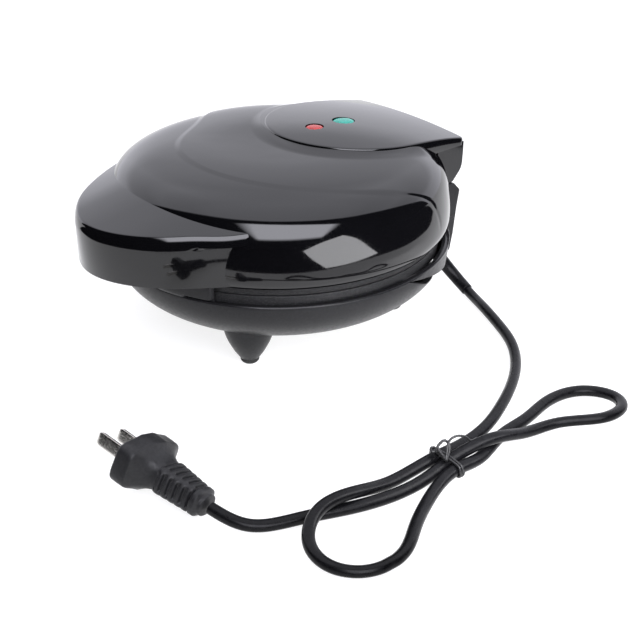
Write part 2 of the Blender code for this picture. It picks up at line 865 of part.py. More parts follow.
cut(
    hinge_cover,
    joined(
        bar_x(28.7, 37.8, HINGE_Y, HINGE_Z, HINGE_PIN_R + GAP, 12),
        bar_x(-37.8, -28.7, HINGE_Y, HINGE_Z, HINGE_PIN_R + GAP, 12),
        bar((0.0, 71.0, 74.0), (0.0, 77.0, 74.0), 3.2, 10),
        turned([(0.0, 85.0), (4.9, 85.0), (4.9, 105.0), (0.0, 105.0)], 20, (0.0, RED_LAMP_Y)),
        turned([(0.0, 85.0), (6.1, 85.0), (6.1, 105.0), (0.0, 105.0)], 20, (0.0, GREEN_LAMP_Y)),
        *[turned([(0.0, 85.0), (1.8, 85.0), (1.8, 96.0), (0.0, 96.0)], 10, (sx * 28.0, 50.0)) for sx in (-1, 1)],
    ),
)

for side, sx in (("left", -1), ("right", 1)):
    part(
        f"hinge_pin_{side}",
        bar_x(min(sx * 20.6, sx * 37.5), max(sx * 20.6, sx * 37.5), HINGE_Y, HINGE_Z, HINGE_PIN_R, 12),
        STEEL,
        (sx * 29.0, HINGE_Y, HINGE_Z),
    )
    part(
        f"lid_screw_{side}",
        turned([(0.0, 87.9), (2.4, 87.9), (2.9, 88.5), (2.9, 90.2), (1.5, 90.2), (1.5, 95.7), (0.0, 95.7)], 12, (sx * 28.0, 50.0)),
        STEEL,
        (sx * 28.0, 50.0, 90.2),
        True,
    )
    part(
        f"handle_screw_{side}",
        sweep(
            [(sx * 24.0, y, 68.0) for y in (-79.4, -80.0, -81.8, -81.81, -97.0)],
            [2.4, 2.9, 2.9, 1.5, 1.5],
            12,
        ),
        STEEL,
        (sx * 24.0, -81.8, 68.0),
        True,
    )

for colour, y, radius, finish in (("red", RED_LAMP_Y, 4.6, RED), ("green", GREEN_LAMP_Y, 5.8, GREEN)):
    top = cover_top(0.0, y)
    part(
        f"{colour}_lamp_lens",
        turned([(0.0, 91.5), (radius, 91.5), (radius, top - 1.0), (radius * 0.86, top - 0.5), (radius * 0.5, top - 0.12), (0.0, top)], 20, (0.0, y)),
        finish,
        (0.0, y, 91.5),
        True,
    )
    part(
        f"{colour}_neon_lamp",
        turned([(0.0, 86.8), (2.5, 86.8), (2.5, 90.0), (1.4, 91.1), (0.0, 91.2)], 12, (0.0, y)),
        NEON,
        (0.0, y, 86.8),
        True,
    )
part("lamp_holder", box(-8.0, 8.0, 15.0, 51.0, 80.5, 86.5), BAKELITE, (0.0, 33.0, 80.5), True)
part(
    "lid_lead",
    sweep(
        [(0.0, 82.6, 69.6), (0.0, 81.9, 72.2), (0.0, 79.0, 73.8), (0.0, 74.0, 74.0), (0.0, 66.0, 74.4), (0.0, 60.5, 77.0), (0.0, 56.5, 81.5), (0.0, 52.4, 83.2)],
        [1.6] * 8,
        8,
    ),
    LEAD,
    (0.0, 74.0, 74.0),
    True,
)


# ---------------------------------------------------------------- upper handle
def mirrored(half):
    return list(half) + [(-x, y) for x, y in reversed(half) if x > 1e-6]


def handle_top(x, y):
    return 85.0 + 0.197 * (y + 83.0) - 0.00228 * x * x


def inset(half, distance):
    """The half outline moved inwards along its normals."""
    out = []
    for k, (x, y) in enumerate(half):
        x0, y0 = half[max(k - 1, 0)] if k else (-half[1][0], half[1][1])
        x1, y1 = half[min(k + 1, len(half) - 1)]
        dx, dy = x1 - x0, y1 - y0
        size = math.hypot(dx, dy)
        out.append((max(x - dy / size * distance, 0.0) if k else 0.0, y + dx / size * distance))
    return out


upper_handle = part("upper_handle", prism(mirrored(HANDLE_HALF), HANDLE_BOTTOM, 96.0), GLOSS, (0.0, -90.0, HANDLE_BOTTOM), True)
cut(upper_handle, under_surface(handle_top, -70.0, 70.0, -125.0, -45.0, 8, 6, 120.0))
pocket = helper("handle_pocket", prism(mirrored(inset(HANDLE_HALF[:8], 2.6)), 50.0, 92.0))
cut(pocket, under_surface(lambda x, y: handle_top(x, y) - 2.8, -70.0, 70.0, -125.0, -45.0, 8, 6, 120.0))
cut(pocket, turned([(0.0, 40.0), (92.4, 40.0), (92.4, 110.0), (0.0, 110.0)], 64, phase=0.5))
cut(upper_handle, pocket)
cut(upper_handle, lid_solid(GAP, 50.0, 60))
handle_tier = tier_solid(GAP, "handle_tier_room")
cut(upper_handle, handle_tier)
cut(upper_handle, joined(*[bar((sx * 24.0, -80.0, 68.0), (sx * 24.0, -93.5, 68.0), 1.8, 10) for sx in (-1, 1)]))

# ---------------------------------------------------------------- cord and plug
fine, run = cord_line()
inner = [exit_point - exit_dir * s for s in (13.4, 12.9, 11.1, 10.6, 10.55, 5.0)]
sleeve_path = [tuple(p) for p in inner] + [point_at(fine, run, s) for s in (0.0, 4.0, 8.0, 12.0, 16.0, 20.0, 24.0, 28.0, 32.0, SLEEVE_LENGTH - 1.2, SLEEVE_LENGTH)]
sleeve_radii = [4.2, 5.2, 5.2, 4.4, 4.1, 4.1] + [4.05, 3.95, 3.85, 3.75, 3.65, 3.6, 3.52, 3.45, 3.4, 3.35, 3.0]
part("strain_relief", sweep(sleeve_path, sleeve_radii, 14), CORD, CORD_EXIT)

start, end = SLEEVE_LENGTH + 0.7, run[-1] - 0.5
steps = np.linalg.norm(np.diff(fine, axis=0), axis=1)
way = np.diff(fine, axis=0) / steps[:, None]
bend = np.r_[0.0, np.linalg.norm(np.diff(way, axis=0), axis=1) / steps[1:]]
bend = np.convolve(bend, np.ones(9) / 9, mode="same")
weight = np.r_[0.0, np.cumsum(steps * (1.0 + 18.0 * bend))]
w0, w1 = np.interp([start, end], run, weight)
spots = np.interp(np.linspace(w0, w1, 72), weight, run)
curve = bpy.data.curves.new("power_cord", "CURVE")
curve.dimensions = "3D"
curve.bevel_depth = CORD_D / 2 * MM
curve.bevel_resolution = 2
curve.use_fill_caps = True
line = curve.splines.new("POLY")
line.points.add(len(spots) - 1)
for knot, s in zip(line.points, spots):
    x, y, z = point_at(fine, run, s)
    knot.co = (x * MM, y * MM, z * MM, 1.0)
curve.materials.append(CORD)
power_cord = bpy.data.objects.new("power_cord", curve)
power_cord.location = world((0.0, 0.0, 0.0))
scene.collection.objects.link(power_cord)


def stadium(half, radius, count):
    """Outline of a slot shape about the bundle of three strands, in (x, z)."""
    cx, cz = 168.4, 4.05
    out = []
    for sign, first in ((1, -90.0), (-1, 90.0)):
        for k in range(count + 1):
            a = math.radians(first + 180.0 * k / count)
            out.append((cx + sign * half + radius * math.cos(a), cz + radius * math.sin(a)))
    return out


def slab_y(outline, y0, y1):
    return loft([[(x, y0, z) for x, z in outline], [(x, y1, z) for x, z in outline]])


cord_tie = part("cord_tie", slab_y(stadium(6.1, 4.0, 8), TIE_Y - 1.0, TIE_Y + 1.0), TIE, (168.4, TIE_Y, 4.05))
cut(cord_tie, slab_y(stadium(6.1, 3.15, 8), TIE_Y - 2.0, TIE_Y + 2.0))
add(cord_tie, sweep([(165.5, -36.0, 7.8), (163.5, -35.0, 10.5), (161.0, -33.0, 13.5)], [0.8, 1.3, 0.9], 8))

plug_axis = Vector(PLUG_AXIS).normalized()
plug_wide = Vector(PLUG_WIDE)
plug_wide = (plug_wide - plug_axis * plug_wide.dot(plug_axis)).normalized()
plug_thin = plug_axis.cross(plug_wide)
if plug_thin.z < 0:
    plug_thin = -plug_thin


def plug_point(s, w, t):
    return Vector(PLUG_END) + plug_axis * s + plug_wide * w + plug_thin * t


def rounded_ring(s, half_w, half_t, power, count=12):
    out = []
    for i in range(count):
        a = 2 * math.pi * (i + 0.5) / count
        c, d = math.cos(a), math.sin(a)
        out.append(
            plug_point(
                s,
                half_w * math.copysign(abs(c) ** (2 / power), c),
                half_t * math.copysign(abs(d) ** (2 / power), d),
            )
        )
    return out


def rib_half_w(s):
    return 6.1 + (s - 7.6) * (8.4 - 6.1) / 13.6


def rib_half_t(s):
    return 6.3 + (s - 7.6) * (6.9 - 6.3) / 13.6


stations = [(0.0, 4.8, 4.8, 2.2), (2.3, 6.8, 6.1, 2.6), (5.1, 6.8, 6.2, 2.6), (5.3, 5.1, 5.1, 2.4)]
for k in range(5):
    s = 7.6 + 3.4 * k
    stations += [
        (s - 0.95, rib_half_w(s) - 1.3, rib_half_t(s) - 1.2, 2.8),
        (s - 0.8, rib_half_w(s), rib_half_t(s), 3.0),
        (s + 0.8, rib_half_w(s) + 0.25, rib_half_t(s) + 0.1, 3.0),
        (s + 0.95, rib_half_w(s) - 1.1, rib_half_t(s) - 1.1, 2.8),
    ]
stations += [
    (24.4, 8.0, 6.7, 3.0),
    (27.0, 9.2, 7.4, 3.2),
    (29.6, 11.6, 8.3, 3.6),
    (31.9, 15.4, 9.3, 4.2),
    (32.4, 15.9, 9.5, 4.6),
    (PLUG_LENGTH - 0.7, 15.9, 9.5, 4.6),
    (PLUG_LENGTH, 15.2, 8.9, 4.6),
]
part("plug_body", loft([rounded_ring(*st) for st in stations]), PLUG, PLUG_END)
for side, sign in (("left", -1), ("right", 1)):
    rows = []
    for s, half in ((PLUG_LENGTH + GAP, 3.15), (PLUG_LENGTH + PIN_LENGTH - 1.6, 3.15), (PLUG_LENGTH + PIN_LENGTH, 2.2)):
        rows.append([plug_point(s, sign * PIN_SPACING / 2 + a * 0.75, b * half) for a, b in ((-1, -1), (1, -1), (1, 1), (-1, 1))])
    part(f"plug_pin_{side}", loft(rows), NICKEL, tuple(plug_point(PLUG_LENGTH, sign * PIN_SPACING / 2, 0.0)))
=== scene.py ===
"""The look of a round countertop ring-cake maker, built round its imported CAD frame.

Lengths are in millimetres about the axis of the round body, as in the CAD source, and turned
into metres of the row frame when a mesh is written.
"""

import json
import math

import bmesh
import bpy
import numpy as np
from mathutils import Matrix, Vector

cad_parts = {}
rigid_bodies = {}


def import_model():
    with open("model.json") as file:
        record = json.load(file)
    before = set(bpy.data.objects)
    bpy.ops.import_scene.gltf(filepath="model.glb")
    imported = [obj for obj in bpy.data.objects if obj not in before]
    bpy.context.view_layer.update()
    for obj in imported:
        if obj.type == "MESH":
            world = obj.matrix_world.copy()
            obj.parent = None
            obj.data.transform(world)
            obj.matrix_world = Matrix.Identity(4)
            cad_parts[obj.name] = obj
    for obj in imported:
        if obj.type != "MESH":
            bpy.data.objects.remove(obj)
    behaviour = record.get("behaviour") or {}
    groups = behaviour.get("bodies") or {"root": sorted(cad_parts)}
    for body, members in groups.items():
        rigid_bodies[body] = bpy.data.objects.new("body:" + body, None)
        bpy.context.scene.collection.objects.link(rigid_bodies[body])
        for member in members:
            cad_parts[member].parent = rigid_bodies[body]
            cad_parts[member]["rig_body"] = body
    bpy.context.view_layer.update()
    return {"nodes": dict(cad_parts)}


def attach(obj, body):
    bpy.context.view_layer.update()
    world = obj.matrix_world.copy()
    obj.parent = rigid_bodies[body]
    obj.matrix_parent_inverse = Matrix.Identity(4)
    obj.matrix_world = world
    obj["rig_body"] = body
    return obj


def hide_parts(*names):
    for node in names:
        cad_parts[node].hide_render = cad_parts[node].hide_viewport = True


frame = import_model()

MM = 0.001
Y_SHIFT = 11.25
SCENE = bpy.context.scene

# ---------------------------------------------------------------- camera
for old in [o for o in bpy.data.objects if o.type in ("CAMERA", "LIGHT")]:
    bpy.data.objects.remove(old, do_unlink=True)
if "Cube" in bpy.data.objects and "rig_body" not in bpy.data.objects["Cube"]:
    bpy.data.objects.remove(bpy.data.objects["Cube"], do_unlink=True)


def world(x, y, z):
    return Vector((x * MM, (y + Y_SHIFT) * MM, z * MM))


camera_data = bpy.data.cameras.new("photo_camera")
camera_data.lens = 64.868
camera_data.sensor_width = 36.0
camera_data.clip_start = 0.01
camera_data.clip_end = 50.0
camera = bpy.data.objects.new("photo_camera", camera_data)
SCENE.collection.objects.link(camera)
camera.location = world(457.906, -333.405, 291.971)
look = world(91.959, -45.503, 45.0) - camera.location
camera.rotation_mode = "QUATERNION"
camera.rotation_quaternion = look.to_track_quat("-Z", "Y")
SCENE.camera = camera


# ---------------------------------------------------------------- materials
class Finish:
    """A Principled material whose colour, roughness and relief come from procedural nodes."""

    def __init__(self, name, base, rough, metallic=0.0, ior=1.5):
        self.material = bpy.data.materials.new(name)
        self.material.use_nodes = True
        self.tree = self.material.node_tree
        self.shader = self.tree.nodes["Principled BSDF"]
        self.shader.inputs["Base Color"].default_value = (*base, 1.0)
        self.shader.inputs["Metallic"].default_value = metallic
        self.shader.inputs["Roughness"].default_value = rough
        self.shader.inputs["IOR"].default_value = ior
        self.base = base
        self.rough = rough
        self.normal = None
        self.place = self.node("ShaderNodeTexCoord").outputs["Object"]

    def node(self, kind, **settings):
        made = self.tree.nodes.new(kind)
        for key, value in settings.items():
            setattr(made, key, value)
        return made

    def link(self, a, b):
        self.tree.links.new(a, b)

    def stretched(self, scale):
        mapping = self.node("ShaderNodeMapping")
        mapping.inputs["Scale"].default_value = scale
        self.link(self.place, mapping.inputs["Vector"])
        return mapping.outputs["Vector"]

    def noise(self, scale, detail=4.0, rough=0.5, vector=None, distortion=0.0):
        made = self.node("ShaderNodeTexNoise")
        made.inputs["Scale"].default_value = scale
        made.inputs["Detail"].default_value = detail
        made.inputs["Roughness"].default_value = rough
        made.inputs["Distortion"].default_value = distortion
        self.link(vector or self.place, made.inputs["Vector"])
        return made.outputs["Fac"]

    def remap(self, value, low, high, out_low, out_high):
        made = self.node("ShaderNodeMapRange")
        for key, number in (
            ("From Min", low),
            ("From Max", high),
            ("To Min", out_low),
            ("To Max", out_high),
        ):
            made.inputs[key].default_value = number
        self.link(value, made.inputs["Value"])
        return made.outputs["Result"]

    def colour(self, value, stops):
        ramp = self.node("ShaderNodeValToRGB")
        elements = ramp.color_ramp.elements
        while len(elements) < len(stops):
            elements.new(0.5)
        for element, (position, shade) in zip(elements, stops):
            element.position = position
            element.color = (*shade, 1.0)
        self.link(value, ramp.inputs["Fac"])
        self.link(ramp.outputs["Color"], self.shader.inputs["Base Color"])
        return self

    def vary_rough(self, scale, low, high, detail=4.0, vector=None):
        spread = self.remap(
            self.noise(scale, detail, 0.6, vector), 0.35, 0.68, low, high
        )
        self.link(spread, self.shader.inputs["Roughness"])
        return self

    def round_edges(self, radius):
        made = self.node("ShaderNodeBevel")
        made.samples = 6
        made.inputs["Radius"].default_value = radius
        self.normal = made.outputs["Normal"]
        self.link(self.normal, self.shader.inputs["Normal"])
        return self

    def bump(self, height, distance, strength=1.0):
        made = self.node("ShaderNodeBump")
        made.inputs["Distance"].default_value = distance
        made.inputs["Strength"].default_value = strength
        self.link(height, made.inputs["Height"])
        if self.normal is not None:
            self.link(self.normal, made.inputs["Normal"])
        self.normal = made.outputs["Normal"]
        self.link(self.normal, self.shader.inputs["Normal"])
        return self


def gloss_finish(name, base):
    """Polished moulded plastic: faint waviness, hairline scuffs and a trace of dust."""
    f = Finish(name, base, 0.06, 0.0, 1.52)
    f.colour(f.noise(60.0, 6.0), [(0.3, tuple(0.92 * c for c in base)), (0.7, tuple(1.1 * c for c in base))])
    scuffs = f.noise(420.0, 8.0, 0.7, f.stretched((1.0, 4.0, 1.0)))
    f.link(f.remap(scuffs, 0.42, 0.74, 0.045, 0.13), f.shader.inputs["Roughness"])
    f.bump(f.noise(38.0, 2.0), 0.00022, 0.35)
    f.bump(f.noise(900.0, 3.0), 0.000004, 0.25)
    return f


GLOSS = gloss_finish("gloss_black_shell", (0.0016, 0.0016, 0.0020)).material

satin = Finish("satin_black_shell", (0.014, 0.014, 0.016), 0.36)
satin.shader.inputs["Specular IOR Level"].default_value = 0.235
satin.round_edges(0.0006)
satin.colour(satin.noise(900.0, 5.0), [(0.3, (0.006, 0.006, 0.0065)), (0.7, (0.011, 0.011, 0.012))])
height = satin.node("ShaderNodeSeparateXYZ")
satin.link(satin.place, height.inputs["Vector"])
polish = satin.remap(height.outputs["Z"], 0.0441, 0.0444, 0.0, 1.0)
past = satin.remap(height.outputs["Z"], 0.0452, 0.0455, 1.0, 0.0)
rim_only = satin.node("ShaderNodeMath", operation="MULTIPLY")
satin.link(polish, rim_only.inputs[0])
satin.link(past, rim_only.inputs[1])
blend = satin.node("ShaderNodeMix", data_type="FLOAT")
satin.link(rim_only.outputs[0], blend.inputs[0])
satin.link(satin.remap(satin.noise(700.0, 4.0, 0.6), 0.35, 0.68, 0.3, 0.44), blend.inputs[2])
satin.link(satin.remap(satin.noise(900.0, 3.0, 0.6), 0.35, 0.68, 0.12, 0.2), blend.inputs[3])
satin.link(blend.outputs[0], satin.shader.inputs["Roughness"])
satin.bump(satin.noise(2600.0, 3.0), 0.000018, 0.5)
SATIN = satin.material

coat = Finish("coated_plate", (0.02, 0.02, 0.021), 0.48)
coat.round_edges(0.0004)
coat.colour(
    coat.noise(3400.0, 2.0, 0.8),
    [(0.0, (0.003, 0.003, 0.0033)), (0.5, (0.006, 0.006, 0.0064)), (0.6, (0.03, 0.03, 0.031)), (1.0, (0.13, 0.13, 0.134))],
)
coat.shader.inputs["Specular IOR Level"].default_value = 0.22
coat.vary_rough(1500.0, 0.4, 0.62)
coat.bump(coat.noise(2900.0, 4.0, 0.7), 0.00004, 0.8)
COATED = coat.material

rubber = Finish("foot_rubber", (0.006, 0.006, 0.006), 0.72)
rubber.colour(rubber.noise(1400.0, 4.0), [(0.3, (0.004, 0.004, 0.004)), (0.75, (0.012, 0.012, 0.011))])
rubber.vary_rough(900.0, 0.6, 0.85)
rubber.bump(rubber.noise(3200.0, 4.0), 0.00004, 0.6)
RUBBER = rubber.material

sheath = Finish("cord_sheath", (0.009, 0.009, 0.010), 0.3)
sheath.colour(sheath.noise(500.0, 5.0), [(0.3, (0.0018, 0.0018, 0.0022)), (0.72, (0.0045, 0.0045, 0.0052))])
sheath.shader.inputs["Specular IOR Level"].default_value = 0.14
sheath.vary_rough(260.0, 0.24, 0.36)
sheath.bump(sheath.noise(1500.0, 3.0), 0.000014, 0.35)
SHEATH = sheath.material

plug_skin = Finish("plug_moulding", (0.011, 0.011, 0.012), 0.46)
plug_skin.shader.inputs["Specular IOR Level"].default_value = 0.32
plug_skin.round_edges(0.0005)
plug_skin.colour(plug_skin.noise(800.0, 5.0), [(0.3, (0.006, 0.006, 0.0068)), (0.7, (0.012, 0.012, 0.013))])
plug_skin.vary_rough(900.0, 0.38, 0.56)
plug_skin.bump(plug_skin.noise(2400.0, 4.0), 0.00004, 0.55)
PLUG = plug_skin.material

tie_skin = Finish("tie_coating", (0.006, 0.006, 0.007), 0.32)
tie_skin.colour(tie_skin.noise(700.0, 4.0), [(0.3, (0.004, 0.004, 0.005)), (0.7, (0.012, 0.012, 0.012))])
tie_skin.vary_rough(600.0, 0.25, 0.42)
tie_skin.bump(tie_skin.noise(2600.0, 3.0), 0.00003, 0.5)
TIE = tie_skin.material


def metal_finish(name, base, low, high, brush, relief):
    f = Finish(name, base, (low + high) / 2, 1.0)
    f.round_edges(0.00025)
    grain = f.noise(900.0, 5.0, 0.6, f.stretched(brush))
    f.colour(grain, [(0.25, tuple(0.78 * c for c in base)), (0.75, tuple(min(1.0, 1.1 * c) for c in base))])
    f.link(f.remap(grain, 0.3, 0.7, low, high), f.shader.inputs["Roughness"])
    f.bump(grain, relief, 0.5)
    return f.material


NICKEL = metal_finish("nickel_pin", (0.74, 0.72, 0.68), 0.12, 0.3, (0.25, 3.0, 3.0), 0.000012)
STEEL = metal_finish("zinc_steel", (0.58, 0.58, 0.6), 0.25, 0.45, (1.0, 1.0, 3.0), 0.00001)
SHEET = metal_finish("aluminised_sheet", (0.62, 0.62, 0.62), 0.3, 0.5, (0.3, 3.0, 1.0), 0.00001)
ELEMENT = metal_finish("heat_tinted_tube", (0.26, 0.23, 0.2), 0.35, 0.6, (1.0, 1.0, 1.0), 0.00002)


def lens_finish(name, base, deep):
    """Tinted clear plastic: light enters, and the tint is deeper where noise thickens it."""
    f = Finish(name, base, 0.08, 0.0, 1.49)
    f.shader.inputs["Transmission Weight"].default_value = 0.12
    f.shader.inputs["Specular IOR Level"].default_value = 0.22
    f.colour(f.noise(240.0, 3.0), [(0.3, deep), (0.7, base)])
    f.vary_rough(500.0, 0.05, 0.14)
    f.bump(f.noise(700.0, 2.0), 0.00001, 0.3)
    return f.material


RED = lens_finish("red_lens", (0.52, 0.045, 0.042), (0.40, 0.03, 0.028))
GREEN = lens_finish("green_lens", (0.02, 0.37, 0.29), (0.015, 0.28, 0.22))


def mottled(name, light, dark, rough, scale, relief):
    f = Finish(name, light, rough)
    f.round_edges(0.0003)
    f.colour(f.noise(scale, 6.0, 0.6), [(0.3, dark), (0.7, light)])
    f.vary_rough(scale * 0.7, rough - 0.1, rough + 0.12)
    f.bump(f.noise(scale * 2.5, 4.0), relief, 0.5)
    return f.material


THERMOSET = mottled("thermoset_block", (0.05, 0.045, 0.04), (0.02, 0.018, 0.016), 0.5, 900.0, 0.00003)
CERAMIC = mottled("ceramic_body", (0.76, 0.73, 0.66), (0.62, 0.58, 0.5), 0.55, 700.0, 0.00003)
LEAD = mottled("sleeved_lead", (0.66, 0.66, 0.63), (0.5, 0.5, 0.47), 0.5, 2200.0, 0.00005)

neon = Finish("neon_glass", (0.85, 0.62, 0.52), 0.06, 0.0, 1.5)
neon.shader.inputs["Transmission Weight"].default_value = 0.6
neon.colour(neon.noise(500.0, 3.0), [(0.35, (0.9, 0.7, 0.6)), (0.7, (0.75, 0.45, 0.35))])
neon.vary_rough(900.0, 0.04, 0.12)
NEON = neon.material


# ---------------------------------------------------------------- mesh builders (mm)
def turned(profile, sides, centre=(0.0, 0.0), ring=False, phase=0.0):
    """A solid of revolution about Z from (radius, height) stations."""
    bm = bmesh.new()
    cx, cy = centre
    rows = []
    for r, z in profile:
        if r < 1e-9:
            rows.append([bm.verts.new((cx, cy, z))])
            continue
        rows.append(
            [
                bm.verts.new(
                    (
                        cx + r * math.cos(2 * math.pi * (i + phase) / sides),
                        cy + r * math.sin(2 * math.pi * (i + phase) / sides),
                        z,
                    )
                )
                for i in range(sides)
            ]
        )
    pairs = list(zip(rows[:-1], rows[1:]))
    if ring:
        pairs.append((rows[-1], rows[0]))
    for a, b in pairs:
        for i in range(sides):
            j = (i + 1) % sides
            if len(a) == 1:
                bm.faces.new((a[0], b[j], b[i]))
            elif len(b) == 1:
                bm.faces.new((a[i], a[j], b[0]))
            else:
                bm.faces.new((a[i], a[j], b[j], b[i]))
    if not ring:
        for row in (rows[0], rows[-1]):
            if len(row) > 1:
                bm.faces.new(row)
    bmesh.ops.recalc_face_normals(bm, faces=bm.faces)
    return bm


def loft(sections, close=False):
    """A closed solid through rings of points with the same count, ends capped."""
    bm = bmesh.new()
    rows = [[bm.verts.new(p) for p in section] for section in sections]
    n = len(rows[0])
    pairs = list(zip(rows[:-1], rows[1:]))
    if close:
        pairs.append((rows[-1], rows[0]))
    for a, b in pairs:
        for i in range(n):
            j = (i + 1) % n
            bm.faces.new((a[i], a[j], b[j], b[i]))
    if not close:
        bm.faces.new(rows[0])
        bm.faces.new(rows[-1])
    bmesh.ops.recalc_face_normals(bm, faces=bm.faces)
    return bm


def prism(outline, z0, z1):
    return loft([[(x, y, z0) for x, y in outline], [(x, y, z1) for x, y in outline]])


def prism_x(outline, x0, x1):
    return loft([[(x0, y, z) for y, z in outline], [(x1, y, z) for y, z in outline]])


def box(x0, x1, y0, y1, z0, z1):
    return prism([(x0, y0), (x1, y0), (x1, y1), (x0, y1)], z0, z1)


def frames_along(points):
    pts = [Vector(p) for p in points]
    tangents = []
    for i in range(len(pts)):
        a = pts[max(i - 1, 0)]
        b = pts[min(i + 1, len(pts) - 1)]
        tangents.append((b - a).normalized())
    side = tangents[0].orthogonal().normalized()
    frames = []
    for t in tangents:
        side = (side - t * side.dot(t)).normalized()
        frames.append((t, side, t.cross(side)))
    return frames


def sweep(points, radii, sides):
    rings = []
    for p, r, (_, u, v) in zip(points, radii, frames_along(points)):
        p = Vector(p)
        rings.append(
            [
                p
                + u * (r * math.cos(2 * math.pi * i / sides))
                + v * (r * math.sin(2 * math.pi * i / sides))
                for i in range(sides)
            ]
        )
    return loft(rings)


def bar(p0, p1, radius, sides=32):
    return sweep([p0, p1], [radius, radius], sides)


def bar_x(x0, x1, y, z, radius, sides=48, soft=0.0):
    """A round bar along X, its ends rounded over by soft."""
    stations = [(x0, radius), (x1, radius)]
    if soft:
        stations = [(x0 + soft * (1 - math.cos(a)), radius - soft * (1 - math.sin(a))) for a in (0.0, 0.5, 1.0, math.pi / 2)]
        stations += [(x1 - (s - x0), r) for s, r in reversed(stations)]
    rings = [
        [
            (s, y + r * math.cos(2 * math.pi * i / sides), z + r * math.sin(2 * math.pi * i / sides))
            for i in range(sides)
        ]
        for s, r in stations
    ]
    return loft(rings)


def joined(*parts):
    out = bmesh.new()
    for part in parts:
        table = {v: out.verts.new(v.co) for v in part.verts}
        for face in part.faces:
            out.faces.new([table[v] for v in face.verts])
        part.free()
    return out


def mesh_of(name, bm):
    for v in bm.verts:
        v.co = Vector((v.co.x * MM, (v.co.y + Y_SHIFT) * MM, v.co.z * MM))
    made = bpy.data.meshes.new(name)
    bm.to_mesh(made)
    bm.free()
    return made


def raw(name, bm):
    obj = bpy.data.objects.new(name, mesh_of(name, bm))
    SCENE.collection.objects.link(obj)
    return obj


def carve(obj, *steps):
    """Boolean steps, each (operation, bmesh or object), worked out at once."""
    spent = []
    for operation, other in steps:
        if not isinstance(other, bpy.types.Object):
            other = raw(f"{obj.name}_tool", other)
        spent.append(other)
        step = obj.modifiers.new(operation, "BOOLEAN")
        step.operation = operation
        step.solver = "EXACT"
        step.object = other
    bpy.context.view_layer.update()
    graph = bpy.context.evaluated_depsgraph_get()
    result = bpy.data.meshes.new_from_object(obj.evaluated_get(graph))
    obj.modifiers.clear()
    spare = obj.data
    obj.data = result
    result.name = obj.name
    bpy.data.meshes.remove(spare)
    for other in spent:
        bpy.data.objects.remove(other, do_unlink=True)
    return obj


def piece(name, bm_or_obj, finish, body, nodes=(), slot=None, angle=32.0):
    """A shown piece that rides on a body and stands for CAD nodes."""
    obj = bm_or_obj if isinstance(bm_or_obj, bpy.types.Object) else raw(name, bm_or_obj)
    obj.name = name
    obj.data.name = name
    obj.data.materials.clear()
    obj.data.materials.append(finish)
    obj.data.shade_smooth()
    obj.data.set_sharp_from_angle(angle=math.radians(angle))
    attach(obj, body)
    if nodes:
        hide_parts(*nodes)
    return obj


def natural_spline(points):
    """The natural cubic through the points, numbered by the straight distance between them."""
    p = np.array(points, float)
    h = np.linalg.norm(np.diff(p, axis=0), axis=1)
    t = np.r_[0.0, np.cumsum(h)]
    n = len(p)
    a = np.eye(n)
    rhs = np.zeros_like(p)
    for i in range(1, n - 1):
        a[i, i - 1], a[i, i], a[i, i + 1] = h[i - 1], 2 * (h[i - 1] + h[i]), h[i]
        rhs[i] = 6 * ((p[i + 1] - p[i]) / h[i] - (p[i] - p[i - 1]) / h[i - 1])
    m = np.linalg.solve(a, rhs)

    def at(u):
        i = int(np.clip(np.searchsorted(t, u) - 1, 0, n - 2))
        w, v = (t[i + 1] - u) / h[i], (u - t[i]) / h[i]
        bend = ((w**3 - w) * m[i] + (v**3 - v) * m[i + 1]) * h[i] ** 2 / 6
        return w * p[i] + v * p[i + 1] + bend

    return at, t[-1]


def smooth_through(points, step):
    at, last = natural_spline(points)
    return np.array([at(u) for u in np.linspace(0.0, last, max(2, int(last / step)))])


# ---------------------------------------------------------------- cord
CORD_D = 5.6
CORD_WIDE, CORD_THIN = 5.5, 4.85
SLEEVE_LENGTH = 36.0
CORD_EXIT = (34.0, 78.0, 27.9)
CORD_EXIT_DIR = (0.115, 0.591, -0.799)
CORD_ROUTE = (
    (34.0, 78.0, 27.90),
    (39.2, 87.9, 12.83),
    (53.9, 89.7, 3.69),
    (71.4, 83.5, 3.27),
    (91.5, 75.5, 2.86),
    (109.9, 65.9, 2.93),
    (125.8, 52.5, 2.81),
    (138.9, 35.7, 2.87),
    (149.7, 16.8, 2.83),
    (158.0, -2.9, 2.83),
    (161.7, -23.1, 3.36),
    (162.3, -36.0, 4.05),
    (162.9, -65.1, 3.21),
    (163.8, -84.6, 7.81),
    (164.4, -103.0, 7.99),
    (174.4, -115.9, 4.45),
    (189.2, -117.2, 2.94),
    (199.8, -108.5, 2.81),
    (201.2, -91.0, 2.94),
    (192.2, -76.1, 3.20),
    (182.4, -60.1, 2.97),
    (174.5, -36.0, 4.05),
    (173.8, -22.6, 2.98),
    (167.4, -1.9, 3.10),
    (164.4, 18.1, 2.90),
    (160.0, 38.6, 2.88),
    (164.8, 58.6, 3.08),
    (176.8, 63.3, 4.52),
    (187.6, 57.5, 6.27),
    (190.0, 42.9, 7.04),
    (177.7, 25.7, 4.69),
    (173.9, 8.5, 4.64),
    (172.2, -12.0, 8.81),
    (168.4, -36.0, 4.05),
    (169.9, -47.1, 2.90),
    (170.9, -66.0, 2.96),
    (166.1, -87.4, 2.81),
    (159.1, -107.0, 2.84),
    (149.7, -127.8, 3.31),
    (133.2, -136.0, 6.60),
)


def cord_line(step=0.3):
    at, last = natural_spline(CORD_ROUTE)
    fine = np.array([at(u) for u in np.arange(0.0, last, step)] + [at(last)])
    fine[:, 2] = np.maximum(fine[:, 2], CORD_D / 2)
    run = np.r_[0.0, np.cumsum(np.linalg.norm(np.diff(fine, axis=0), axis=1))]
    return fine, run


line, run = cord_line()


